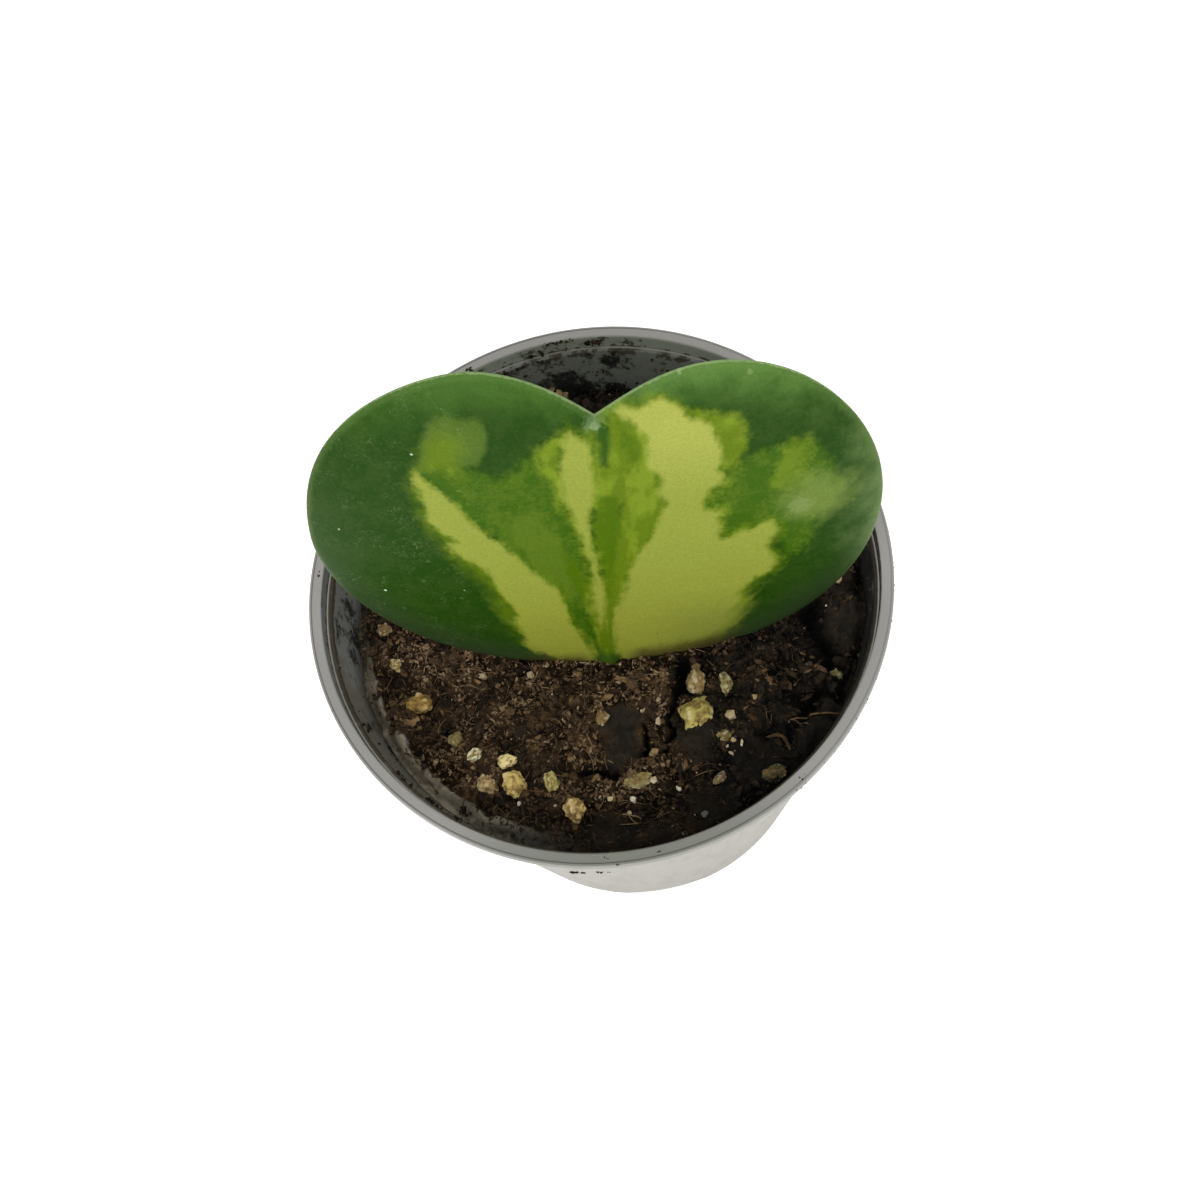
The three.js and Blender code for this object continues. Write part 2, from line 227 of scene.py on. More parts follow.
# Puts a finished piece on the plant's one body, with its finish and the solids that it stands for.
def finishPiece(piece, material, slotName, *solids):
    piece.data.materials.clear()
    piece.data.materials.append(material)
    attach(piece, "root")
    if solids:
        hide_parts(*solids)
    print(piece.name, len(piece.data.polygons), "faces")


# Material making.


# A screen colour from 0 to 255 as the linear light that a shader takes.
def tint(red, green, blue):
    screen = np.array([red, green, blue]) / 255
    linear = np.where(screen <= 0.04045, screen / 12.92, ((screen + 0.055) / 1.055) ** 2.4)
    return (*linear.tolist(), 1.0)


# A new node: linked where the value is another node's output, and set where it is a plain value.
def addNode(tree, kind, inputs, **settings):
    node = tree.nodes.new(kind)
    for key, value in settings.items():
        setattr(node, key, value)
    for key, value in inputs.items():
        if isinstance(value, bpy.types.NodeSocket):
            tree.links.new(value, node.inputs[key])
        else:
            node.inputs[key].default_value = value
    return node


def newMaterial(name, **settings):
    material = bpy.data.materials.new(name)
    material.use_nodes = True
    shader = material.node_tree.nodes["Principled BSDF"]
    for key, value in settings.items():
        shader.inputs[key.replace("_", " ")].default_value = value
    return material, material.node_tree, shader


def objectPlace(tree):
    return addNode(tree, "ShaderNodeTexCoord", {}).outputs["Object"]


def readAttribute(tree, name, output="Fac"):
    return addNode(tree, "ShaderNodeAttribute", {}, attribute_name=name).outputs[output]


# Fractal noise from 0 to 1 whose features are about size millimetres across.
def grain(tree, place, size, detail=3.0, roughness=0.55, distortion=0.0):
    inputs = {"Vector": place, "Scale": 1 / (size * mm), "Detail": detail, "Roughness": roughness}
    inputs["Distortion"] = distortion
    return addNode(tree, "ShaderNodeTexNoise", inputs).outputs[0]


def plus(tree, first, second):
    return addNode(tree, "ShaderNodeMath", {0: first, 1: second}, operation="ADD").outputs[0]


def minus(tree, first, second):
    return addNode(tree, "ShaderNodeMath", {0: first, 1: second}, operation="SUBTRACT").outputs[0]


def times(tree, first, second):
    return addNode(tree, "ShaderNodeMath", {0: first, 1: second}, operation="MULTIPLY").outputs[0]


def sizeOf(tree, value):
    return addNode(tree, "ShaderNodeMath", {0: value, 1: 0.0}, operation="ABSOLUTE").outputs[0]


# 0 below low and 1 above high, eased between.
def rise(tree, value, low, high):
    inputs = {"Value": value, "From Min": low, "From Max": high}
    return addNode(tree, "ShaderNodeMapRange", inputs, interpolation_type="SMOOTHSTEP").outputs[0]


# The first colour where share is 0 and the second where it is 1.
def blendColours(tree, share, first, second, kind="MIX"):
    inputs = {0: share, 6: first, 7: second}
    return addNode(tree, "ShaderNodeMix", inputs, data_type="RGBA", blend_type=kind).outputs[2]


# A relief of height times depth millimetres on the shader's normal.
def addRelief(tree, shader, height, depth, strength=1.0):
    inputs = {"Height": height, "Distance": depth * mm, "Strength": strength}
    bump = addNode(tree, "ShaderNodeBump", inputs)
    tree.links.new(bump.outputs[0], shader.inputs["Normal"])


def feedColour(tree, shader, colour):
    tree.links.new(colour, shader.inputs["Base Color"])


# 1 within a soft round spot of a radius about a centre, in the units of place.
def spot(tree, place, centre, radius, uneven=0.0):
    inputs = {0: place, 1: centre}
    away = addNode(tree, "ShaderNodeVectorMath", inputs, operation="DISTANCE").outputs["Value"]
    return rise(tree, plus(tree, away, uneven), radius, 0.45 * radius)


# A grey that multiplies a colour evenly.
def greyOf(tree, share):
    return addNode(tree, "ShaderNodeCombineColor", {0: share, 1: share, 2: share}).outputs[0]


# Pot.

pot = {
    "height": 46.0,
    "lipRadius": 30.0,
    "lipWidth": 1.3,
    "lipDrop": 1.1,
    "collarDepth": 1.9,
    "wall": 0.7,
    "footRadius": 19.9,
    "footWidth": 1.2,
    "floorRise": 2.0,
    "floorRound": 0.6,
    "taper": 0.2015,
    "draft": 0.1,
    "edgeRound": 0.22,
    "beadWidth": 0.28,  # a fine bead runs round the lip's outer edge, behind a groove
    "beadDrop": 0.02,
    "grooveDepth": 0.09,
    "grooveSpread": 0.06,
    "archCount": 6,
    "archWidth": 9.0,
    "archHeight": 1.6,
    "archReach": 6.0,  # how far up the outside an arch's lift is spread
    "archColumns": 7,
    "firstArch": 266.0,
    "drainCount": 6,
    "drainRadius": 1.9,
    "drainRing": 13.5,
    "drainSides": 40,
    "columns": 300,
    "rowStep": 1.3,
    "roundSteps": 5,
    "sharpAngle": 38.0,
    "skirtPaleness": 0.55,  # how much of the wall's pale colour the lip's skirt takes
    "colour": tint(135, 133, 129),
    # The lip carries painted shade towards its shaded side, in the shaded front colour.
    "shadedSide": (-0.1, -0.995),  # the lip is darker towards this side
    "shadedFrontColour": tint(108, 110, 103),
    "wallColour": tint(150, 147, 140),
    "wallShade": tint(140, 137, 129),
    "innerColour": tint(115, 116, 112),
    # Painted light on the collar at the back, where light falls on it.
    "litCollarColour": tint(156, 158, 152),
    "filmColour": tint(104, 99, 88),
    "dustColour": tint(58, 51, 38),
    # Black of soil caked on the inner wall, and of painted shade on the smeared walls.
    "soilAndShadeColour": tint(9, 9, 6),
    "roughness": 0.5,
}
# Where the inner wall is filmed with pale dust, and where it is smeared black with soil and painted shade,
# the right wall being in shade: angle, spread and strength.
dustyPlaces = [(203.0, 26.0, 1.0), (150.0, 12.0, 0.4)]
smearAndShadePlaces = [(-18.0, 55.0, 1.0), (168.0, 12.0, 0.2), (98.0, 30.0, 0.45)]


# Flat-topped bells round the pot, each about an angle, and added up.
def bellsRound(angle, places):
    total = 0 * angle
    for centre, spread, strength in places:
        off = (angle - centre + 180) % 360 - 180
        total = total + strength * np.exp(-((off / spread) ** 4))
    return total


def shareRound(angle, places):
    return np.clip(bellsRound(angle, places), 0, 1)


wallAcross = pot["wall"] * math.hypot(1, pot["taper"])
soilLevel = pot["height"] - 6.5


def outerWallRadius(z):
    return pot["footRadius"] + pot["taper"] * z


def innerWallRadius(z):
    return outerWallRadius(z) - wallAcross


# Corners of the pot's section, from the axis under the floor, out, up, over the lip and back: radius,
# height and how much of the corner is rounded off.
def potCorners():
    height = pot["height"]
    lipRadius = pot["lipRadius"]
    mouth = lipRadius - pot["lipWidth"]
    ledge = height - pot["collarDepth"]
    skirtFoot = height - pot["lipDrop"]
    collarOut = mouth + pot["wall"] - pot["draft"]
    floorTop = pot["floorRise"] + pot["wall"]
    footIn = pot["footRadius"] - pot["footWidth"]
    groove = lipRadius - pot["beadWidth"]
    edge = pot["edgeRound"]
    return [
        (footIn - pot["draft"], pot["floorRise"], 0.05),
        (footIn, 0, 0.2),
        (pot["footRadius"], 0, 0.2),
        (outerWallRadius(ledge - pot["wall"]), ledge - pot["wall"], 0.3),
        (collarOut - pot["draft"], ledge, 0.2),
        (collarOut, skirtFoot, 0.08),
        (lipRadius, skirtFoot, 0.12),
        (lipRadius, height - pot["beadDrop"], 0.14),
        (groove + pot["grooveSpread"], height - pot["beadDrop"], 0.06),
        (groove, height - pot["grooveDepth"], 0.04),
        (groove - pot["grooveSpread"], height, 0.06),
        (mouth, height, edge),
        (mouth - pot["draft"], ledge, 0.16),
        (innerWallRadius(ledge), ledge, 0.2),
        (innerWallRadius(floorTop), floorTop, pot["floorRound"]),
    ]


# A line through rounded corners: each corner becomes a parabola between points on its two sides, and the
# line is then walked in even steps besides those points.
def roundedLine(start, corners, end, steps, stride):
    places = np.array([start, *[corner[:2] for corner in corners], end], dtype=float)
    rounds = np.array([corner[2] for corner in corners])[:, None]
    sides = np.diff(places, axis=0)
    sides = sides / np.linalg.norm(sides, axis=1)[:, None]
    before = places[1:-1] - rounds * sides[:-1]
    after = places[1:-1] + rounds * sides[1:]
    part = np.linspace(0, 1, steps)[None, :, None]
    curve = (1 - part) ** 2 * before[:, None] + 2 * part * (1 - part) * places[1:-1, None]
    curve = curve + part**2 * after[:, None]
    line = np.concatenate([places[:1], curve.reshape(-1, 2), places[-1:]])
    walked = np.concatenate([[0], np.cumsum(np.linalg.norm(np.diff(line, axis=0), axis=1))])
    marks = np.unique(np.round(np.concatenate([walked, np.arange(0, walked[-1], stride)]), 5))
    return np.stack([np.interp(marks, walked, line[:, 0]), np.interp(marks, walked, line[:, 1])], axis=1)


# Angles of the pot's columns: evenly round, with more where an arch springs from the foot.
def potAngles():
    even = np.arange(pot["columns"]) * 2 * math.pi / pot["columns"]
    centres = np.radians(pot["firstArch"]) + np.arange(pot["archCount"]) * 2 * math.pi / pot["archCount"]
    half = pot["archWidth"] / 2 / pot["footRadius"]
    close = half * (1 - 0.16 * np.linspace(0, 1, pot["archColumns"]) ** 2)
    extra = (centres[:, None, None] + np.array([-1, 1])[None, :, None] * close).ravel()
    return np.unique(np.round(np.concatenate([even, extra % (2 * math.pi)]), 5))


# Height of the arches at an angle: half an ellipse over each arch's width, 0 between them.
def archLift(angles):
    spacing = 2 * math.pi / pot["archCount"]
    off = (angles - math.radians(pot["firstArch"]) + spacing / 2) % spacing - spacing / 2
    part = off * pot["footRadius"] / (pot["archWidth"] / 2)
    return pot["archHeight"] * np.sqrt(np.clip(1 - part**2, 0, 1))


# The pot: its section is carried round the axis, and near the foot each point is raised by the arch above
# it, less and less up to the floor inside and a little higher outside.
def makePot():
    floorTop = pot["floorRise"] + pot["wall"]
    ends = (0, pot["floorRise"]), (0, floorTop)
    line = roundedLine(ends[0], potCorners(), ends[1], pot["roundSteps"], pot["rowStep"])[1:-1]
    angles = potAngles()
    radius = np.repeat(line[:, :1], len(angles), axis=1)
    height = np.repeat(line[:, 1:], len(angles), axis=1)
    row = np.arange(len(line))
    topRow = np.argmax(line[:, 1])
    outside = (row >= np.argmax(line[:, 1] <= 0.01)) & (row < topRow)
    reach = np.where(outside, pot["archReach"], pot["floorRise"])[:, None]
    standing = radius > pot["footRadius"] - pot["footWidth"] - 0.2
    lift = archLift(angles)[None, :] * np.clip(1 - height / reach, 0, 1) * standing
    lift[row > topRow] = 0
    radius = radius + lift * pot["taper"] * outside[:, None]
    height = height + lift
    points = np.stack([radius * np.cos(angles), radius * np.sin(angles), height], axis=-1).reshape(-1, 3)
    poles = np.array([[0, 0, pot["floorRise"]], [0, 0, floorTop]])
    quads, triangles = skinFaces(len(line), len(angles))
    piece = makePiece("pot_shell", np.concatenate([points, poles]), quads, triangles)
    cutDrainHoles(piece)
    piece.data.shade_smooth()
    piece.data.set_sharp_from_angle(angle=math.radians(pot["sharpAngle"]))
    markPot(piece)
    return piece


# Tells the pot's material where each point is: on the wall inside, on the wall outside or the lip's skirt, in
# the groove behind the bead, how far it is smeared with soil and painted shade, and how far filmed. The
# limits leave room for rounded corners.
def markPot(piece):
    places = pointsOf(piece)
    radius = np.hypot(places[:, 0], places[:, 1])
    height = places[:, 2]
    ledge = pot["height"] - pot["collarDepth"]
    floorTop = pot["floorRise"] + pot["wall"]
    midWall = outerWallRadius(height) - wallAcross / 2
    low = height < ledge + 0.01
    inside = low & (radius < midWall) & (height > floorTop - 0.1)
    inside |= ~low & (radius < pot["lipRadius"] - pot["lipWidth"] + 0.02)
    outer = (radius > midWall) & (height < ledge + 0.05)
    skirt = (radius > pot["lipRadius"] - 0.05) & (height < pot["height"] - 0.12)
    offGroove = (radius - pot["lipRadius"] + pot["beadWidth"]) / 0.07
    onTop = height > pot["height"] - 0.15
    angle = np.degrees(np.arctan2(places[:, 1], places[:, 0]))
    giveAttribute(piece, "insideWall", inside.astype(float))
    giveAttribute(piece, "outerWall", outer + pot["skirtPaleness"] * skirt)
    giveAttribute(piece, "groove", onTop * np.exp(-(offGroove**2)))
    giveAttribute(piece, "smearAndShade", shareRound(angle, smearAndShadePlaces))
    giveAttribute(piece, "filmed", shareRound(angle, dustyPlaces))


# Seven round holes through the raised floor: drums on a ring and one in the middle are cut out.
def cutDrainHoles(piece):
    turns = np.radians(pot["firstArch"]) + np.arange(pot["drainCount"]) * 2 * math.pi / pot["drainCount"]
    centres = np.stack([pot["drainRing"] * np.cos(turns), pot["drainRing"] * np.sin(turns)], axis=1)
    centres = np.concatenate([centres, np.zeros((1, 2))])
    sides = pot["drainSides"]
    around = np.arange(sides) * 2 * math.pi / sides
    ring = pot["drainRadius"] * np.stack([np.cos(around), np.sin(around)], axis=1)
    levels = np.array([pot["floorRise"] - 1, pot["floorRise"] + pot["wall"] + 1])
    drum = np.concatenate([np.concatenate([ring, np.full((sides, 1), level)], axis=1) for level in levels])
    drum = np.concatenate([drum, [[0, 0, levels[0]], [0, 0, levels[1]]]])
    shifts = np.concatenate([centres, np.zeros((len(centres), 1))], axis=1)
    quads, triangles = (repeatedFaces(faces, len(drum), len(centres)) for faces in skinFaces(2, sides))
    cutter = makePiece("drain_cutter", (drum[None] + shifts[:, None]).reshape(-1, 3), quads, triangles)
    cut = piece.modifiers.new("drain holes", "BOOLEAN")
    cut.operation = "DIFFERENCE"
    cut.solver = "EXACT"
    cut.object = cutter
    bpy.context.view_layer.update()
    shown = piece.evaluated_get(bpy.context.evaluated_depsgraph_get())
    solid = bpy.data.meshes.new_from_object(shown)
    piece.modifiers.clear()
    piece.data = solid
    bpy.data.objects.remove(cutter)


# What lies on the plastic, and the painted shade on its lip and walls: sizes in millimetres, shares from 0 to
# 1, and the noise values between which each layer comes in.
potFinish = {
    # Painted shade on the lip: how far towards its shaded side it begins and ends.
    "darkening": (22.0, 30.0),  # how far towards its dark side the lip begins and ends to darken
    "streakSize": 1.6,
    "streakSquash": 0.12,
    "streakEdge": (0.4, 0.7),
    "grooveShare": 0.15,
    "grooveShareLeft": 0.45,
    "speckSize": 0.5,
    "speckEdge": (0.74, 0.8),
    "speckShare": 0.7,
    "filmSize": 2.2,
    "filmEdge": (0.62, 0.78),
    "filmShare": 0.8,
    "filmMore": 0.38,
    "dustSize": 1.3,
    "dustEdge": (0.6, 0.67),
    "dustShare": 0.85,
    "dustByLedge": 0.11,
    "dustBySmear": 0.14,
    "cakeSizes": (2.6, 0.8),
    "cakeWeights": (0.6, 0.4),
    "cakeEdge": (0.62, 0.72),
    "cakeShare": 0.92,
    "cakeByDepth": 0.09,
    "cakeBySmear": 0.26,
    "ledgeShare": 0.75,
    "smearShade": 0.55,
    "reliefSize": 0.5,
    "reliefDepth": 0.03,
}


# Moulded plastic outside: pale and faintly streaked, grey on the lip with painted shade towards the front,
# darker in the lip's groove and more so on the left, and with a few specks of dust elsewhere.
def outerPotColour(tree, place, x, y):
    form = potFinish
    sideX, sideY = pot["shadedSide"]
    aside = plus(tree, times(tree, x, sideX), times(tree, y, sideY))
    darkFrom, darkTo = form["darkening"]
    # Painted shade: the lip darkens towards its front.
    darker = rise(tree, aside, darkFrom * mm, darkTo * mm)
    grey = blendColours(tree, darker, pot["colour"], pot["shadedFrontColour"])
    squash = {"Vector": place, "Scale": (1.0, 1.0, form["streakSquash"])}
    streaky = addNode(tree, "ShaderNodeMapping", squash).outputs[0]
    streaks = rise(tree, grain(tree, streaky, form["streakSize"], 4.0), *form["streakEdge"])
    pale = blendColours(tree, streaks, pot["wallColour"], pot["wallShade"])
    colour = blendColours(tree, readAttribute(tree, "outerWall"), grey, pale)
    # The lip's groove is painted darker, more so on the left.
    grooved = times(tree, rise(tree, x, 22 * mm, 0.0), form["grooveShareLeft"])
    grooved = plus(tree, grooved, form["grooveShare"])
    grooved = times(tree, readAttribute(tree, "groove"), grooved)
    colour = blendColours(tree, grooved, colour, pot["dustColour"])
    specks = rise(tree, grain(tree, place, form["speckSize"], 2.0), *form["speckEdge"])
    return blendColours(tree, times(tree, specks, form["speckShare"]), colour, pot["dustColour"])


# The plastic inside is darker grey, its collar painted lighter at the back where light falls on it, under
# films of pale dust, brown dirt that gathers on and below the ledge, and black soil that is caked on towards
# the bottom and where it is smeared, where painted shade also blackens it. The share of caked soil comes back
# with the colour.
def innerPotColour(tree, place, y, z, colour):
    form = potFinish
    inside = readAttribute(tree, "insideWall")
    smearAndShade = readAttribute(tree, "smearAndShade")
    ledge = pot["height"] - pot["collarDepth"]
    colour = blendColours(tree, inside, colour, pot["innerColour"])
    offBack = rise(tree, y, 25 * mm, 16 * mm)
    # Painted light: the collar above the ledge is lighter at the back, where light falls on it.
    litCollar = rise(tree, z, (ledge + 0.05) * mm, (ledge + 0.2) * mm)
    litCollar = times(tree, times(tree, litCollar, minus(tree, 1.0, offBack)), inside)
    colour = blendColours(tree, litCollar, colour, pot["litCollarColour"])

    film = times(tree, readAttribute(tree, "filmed"), form["filmMore"])
    film = plus(tree, grain(tree, place, form["filmSize"], 6.0, 0.65), film)
    film = times(tree, rise(tree, film, *form["filmEdge"]), inside)
    film = times(tree, film, rise(tree, z, (ledge + 0.1) * mm, (ledge - 0.6) * mm))
    colour = blendColours(tree, times(tree, film, form["filmShare"]), colour, pot["filmColour"])

    offLedge = sizeOf(tree, minus(tree, z, (ledge - 0.25) * mm))
    gathered = times(tree, rise(tree, offLedge, 0.9 * mm, 0.1 * mm), plus(tree, offBack, 1.0))
    dusty = grain(tree, place, form["dustSize"], 7.0, 0.68)
    dusty = plus(tree, dusty, times(tree, gathered, form["dustByLedge"]))
    dusty = plus(tree, dusty, times(tree, smearAndShade, form["dustBySmear"]))
    dusty = times(tree, rise(tree, dusty, *form["dustEdge"]), inside)
    colour = blendColours(tree, times(tree, dusty, form["dustShare"]), colour, pot["dustColour"])

    wideSize, fineSize = form["cakeSizes"]
    wideWeight, fineWeight = form["cakeWeights"]
    caked = times(tree, grain(tree, place, wideSize, 4.0, 0.5), wideWeight)
    caked = plus(tree, caked, times(tree, grain(tree, place, fineSize, 6.0, 0.7), fineWeight))
    low = rise(tree, z, (pot["height"] - 0.6) * mm, (soilLevel + 0.5) * mm)
    caked = plus(tree, caked, times(tree, low, form["cakeByDepth"]))
    smearedLow = times(tree, smearAndShade, rise(tree, z, pot["height"] * mm, (pot["height"] - 3.5) * mm))
    caked = plus(tree, caked, times(tree, smearedLow, form["cakeBySmear"]))
    caked = times(tree, rise(tree, caked, *form["cakeEdge"]), inside)
    colour = blendColours(tree, times(tree, caked, form["cakeShare"]), colour, pot["soilAndShadeColour"])

    onLedge = times(tree, times(tree, rise(tree, offLedge, 0.5 * mm, 0.3 * mm), offBack), inside)
    colour = blendColours(tree, times(tree, onLedge, form["ledgeShare"]), colour, pot["dustColour"])
    # Painted shade: smeared walls away from the back, the right wall most of all, are blackened.
    shaded = times(tree, times(tree, smearAndShade, offBack), times(tree, inside, form["smearShade"]))
    return blendColours(tree, shaded, colour, pot["soilAndShadeColour"]), caked


def makePotMaterial():
    material, tree, shader = newMaterial("pot_plastic", Roughness=pot["roughness"], Specular_IOR_Level=0.25)
    place = objectPlace(tree)
    x, y, z = addNode(tree, "ShaderNodeSeparateXYZ", {0: place}).outputs
    colour, caked = innerPotColour(tree, place, y, z, outerPotColour(tree, place, x, y))
    feedColour(tree, shader, colour)
    dull = plus(tree, times(tree, readAttribute(tree, "insideWall"), 0.25), pot["roughness"])
    tree.links.new(dull, shader.inputs["Roughness"])
    relief = plus(tree, grain(tree, place, potFinish["reliefSize"], 3.0), caked)
    addRelief(tree, shader, relief, potFinish["reliefDepth"], 0.6)
    return material


potMaterial = makePotMaterial()
finishPiece(makePot(), potMaterial, "pot_plastic", "pot")

# Soil.

soil = {
    "gap": 0.06,  # between the soil and the pot's wall
    "grid": 300,
    "sideRows": 6,
    "sideTop": soilLevel - 6.5,
    "rimWidth": 1.3,  # the soil's rim falls off over this width
    "rimDrop": 0.75,
    "rimUneven": 0.6,
    "pullWidth": 3.0,  # and over this width it is drawn in to the wall
    "ripple": 0.18,
    # How far, and over what size, a wide and a fine noise bend what is drawn through them.
    "crackWander": ((0.5, 1.3), (0.25, 0.5)),
    "clodWander": ((0.9, 1.9), (0.35, 0.6)),
    "gritWander": ((0.45, 1.1), (0.2, 0.4)),
    "siltWander": ((0.45, 1.7), (0.25, 0.5)),
    "siltEdge": (24.95, 25.4),  # between these radii the silt begins
    "sunkenEdge": (24.4, 26.3),
    "mattedEdge": (-3.0, 3.5),
    "mattedWad": (2.2, -9.5, 4.2),  # centre and radius of a matted patch in the loose part
    "brown": tint(88, 66, 43),
    "darkBrown": tint(44, 33, 21),
    "black": tint(15, 13, 9),
    "grey": tint(76, 66, 50),
    "rust": tint(98, 72, 42),
    "clod": tint(30, 27, 23),
    "clodLight": tint(46, 41, 34),
    # Painted shade: the near-black laid in the cracks, under the leaf and along the front wall.
    "shadeColour": tint(8, 7, 5),
    "silt": tint(164, 154, 134),
    # Painted shade on the silt towards the front.
    "siltShadeFront": tint(62, 63, 60),
}

# Clods and mounds rise from the soil and hollows sink into it: centre, radius and rise.
soilForms = [
    (-10, -11.5, 7.6, 1.5), (-19, -0.5, 4.6, 1.0), (2, -10, 3.1, 1.0), (-2, -15.2, 3.0, -1.0),
    (5.3, -18, 2.7, 1.1), (-11, -20.5, 3.6, 0.6), (14, -9.5, 4.6, 0.8), (24, -8, 3.1, 0.9),
    (16.5, -20, 3.2, 0.6), (2, -25.5, 5.6, -1.4), (-3.5, 7.5, 3.6, 1.2), (12, 17, 6, 0.8),
    (-13, 14, 6.5, 0.7),
]
# Where the soil has sunk away from the wall: angle, spread and depth.
sunkenPlaces = [(168.0, 14.0, 1.6), (-158.0, 26.0, 1.7), (98.0, 40.0, 1.6)]
# Where pale silt has dried along the wall: angle, spread and strength.
siltPlaces = [(-152.0, 38.0, 1.0)]
# Cracks between the clods: both ends, half width and depth.
soilCracks = [
    ((6.3, -8.8), (5.3, -11.6), 0.9, 1.4),
    ((4.7, -12.2), (2.6, -17.4), 0.4, 1.0),
    ((1.1, -14.0), (0.3, -17.2), 0.35, 0.8),
    ((20.2, -5), (21.0, -13.6), 0.8, 1.6),
    ((-6.4, -17.2), (-3.4, -18.4), 0.5, 0.9),
    ((14.2, -19.8), (19.4, -15.2), 0.45, 1.0),
]
smallClods = {
    "count": 90,
    "reach": 26.0,
    "turnSpread": 0.5,
    "radius": 1.2,
    "radiusSpread": 1.3,
    "rise": 0.25,
    "riseSpread": 0.55,
}


# A share between 0 and 1 for each clod that is the same each time: the fraction of a large sine.
def drawn(i, stream):
    value = np.sin(12.9898 * (i + 1) + 78.233 * stream) * largeSine
    return value - np.floor(value)


# Small clods on a sunflower spiral, each moved, sized and raised by its own draws.
def scatteredClods():
    i = np.arange(smallClods["count"])
    reach = smallClods["reach"] * np.sqrt((i + drawn(i, 1)) / smallClods["count"])
    angle = i * math.pi * (3 - math.sqrt(5)) + smallClods["turnSpread"] * drawn(i, 2)
    radius = smallClods["radius"] + smallClods["radiusSpread"] * drawn(i, 3) ** 2
    raised = smallClods["rise"] + smallClods["riseSpread"] * drawn(i, 4)
    return np.stack([reach * np.cos(angle), reach * np.sin(angle), radius, raised], axis=1)


allForms = np.concatenate([np.array(soilForms, dtype=float), scatteredClods()])


# How deep in a crack each place is, 1 along its middle: a bell of the distance from the line between its two
# ends, with the places first shifted by noise so that it wanders and changes its width.
def crackShare(x, y, crack):
    (fromX, fromY), (toX, toY), halfWidth, _ = crack
    x = wandered(x, x, y, soil["crackWander"], 13, 14)
    y = wandered(y, x, y, soil["crackWander"], 15, 16)
    alongX, alongY = toX - fromX, toY - fromY
    part = np.clip(((x - fromX) * alongX + (y - fromY) * alongY) / (alongX**2 + alongY**2), 0, 1)
    off = np.hypot(x - fromX - part * alongX, y - fromY - part * alongY)
    return np.exp(-((off / halfWidth) ** 2))


# The soil's broad shape: each form adds its rise times a flat-topped bell, each crack takes its depth where
# it runs, and two crossed waves ripple it.
def soilShape(x, y):
    height = np.full_like(x, soilLevel)
    for centreX, centreY, radius, raised in allForms:
        height += raised * np.exp(-(squaredAway(x, y, centreX, centreY, radius) ** 2))
    for crack in soilCracks:
        height -= crack[3] * crackShare(x, y, crack)
    return height + soil["ripple"] * np.sin(1.9 * x + 0.8 * y) * np.sin(1.6 * y - 0.7 * x + 1)


# Smooth, charcoal-coloured clods: centre, radius and share.
darkClods = [
    (-1.4, -13.3, 2.2, 1.0), (-2.3, -15.9, 2.2, 1.0), (5.6, -17.4, 2.1, 0.85), (10.8, -21.0, 2.3, 0.6),
    (13.6, -16.4, 1.9, 0.2), (23.4, -9.4, 2.5, 0.75), (23.4, -4.6, 2.0, 0.6), (-4.8, -25.2, 3.0, 0.8),
    (5.6, -24.6, 2.6, 0.7), (15.8, -21.0, 1.5, 1.0), (17.9, -19.8, 1.5, 1.0), (19.6, -17.6, 1.5, 1.0),
    (-23.6, -9.2, 1.8, 0.5), (-1.0, -25.9, 2.4, 0.8),
]


# Where the soil is a smooth clod: the greatest of steep-edged bells about the clods, drawn out unevenly by
# noise.
def soilClod(x, y):
    bentX = wandered(x, x, y, soil["clodWander"], 11, 17)
    bentY = wandered(y, x, y, soil["clodWander"], 12, 18)
    greatest = np.zeros_like(x)
    for centreX, centreY, radius, share in darkClods:
        away = squaredAway(bentX, bentY, centreX, centreY, radius)
        greatest = np.maximum(greatest, share * np.exp(-(away**4)))
    return greatest


# Deep gaps between clods: where any crack runs.
def soilGap(x, y):
    return np.max([crackShare(x, y, crack) for crack in soilCracks], axis=0)


# Where the soil is matted with fibres rather than loose: 1 on the left and in a wad by the leaf, else 0. The
# line between them leans and is shifted by noise.
def mattedShare(x, y):
    edge = x + 0.25 * y + 2.5 * flatNoise(x, y, 5, 3)
    matted = 1 - eased(edge, *soil["mattedEdge"])
    wad = np.exp(-(squaredAway(x, y, *soil["mattedWad"]) ** 2))
    return np.clip(matted + wad, 0, 1)


# The crust of silt along the wall: it begins at an uneven line and runs out to the edge.
def siltShare(x, y):
    outwards = wandered(np.hypot(x, y), x, y, soil["siltWander"], 52, 53)
    return eased(outwards, *soil["siltEdge"]) * shareRound(np.degrees(np.arctan2(y, x)), siltPlaces)


# Fine relief in millimetres. Crumbs: size, height, how much lower they are where the soil is matted, and the
# stream of their draws. Ridges: size, height and stream.
gritForm = {
    "crumbs": [(2.7, 0.9, 0.5, 31), (1.25, 0.6, 0.6, 32), (0.62, 0.3, 0.0, 33)],
    "ridges": [(0.9, 1.0, 42), (0.42, 0.6, 43)],
    "ridgeHeight": 0.36,
    "ridgeWhereLoose": 0.4,
    "roughHeight": 0.3,
    "level": -0.62,  # brings the relief back about the broad shape
    "clodLevel": 0.42,
    "clodSwell": 0.16,
    "clodGrain": 0.1,
    "gapDepth": 0.45,
    "siltLevel": 0.15,
    "siltSmoothing": 0.85,
}


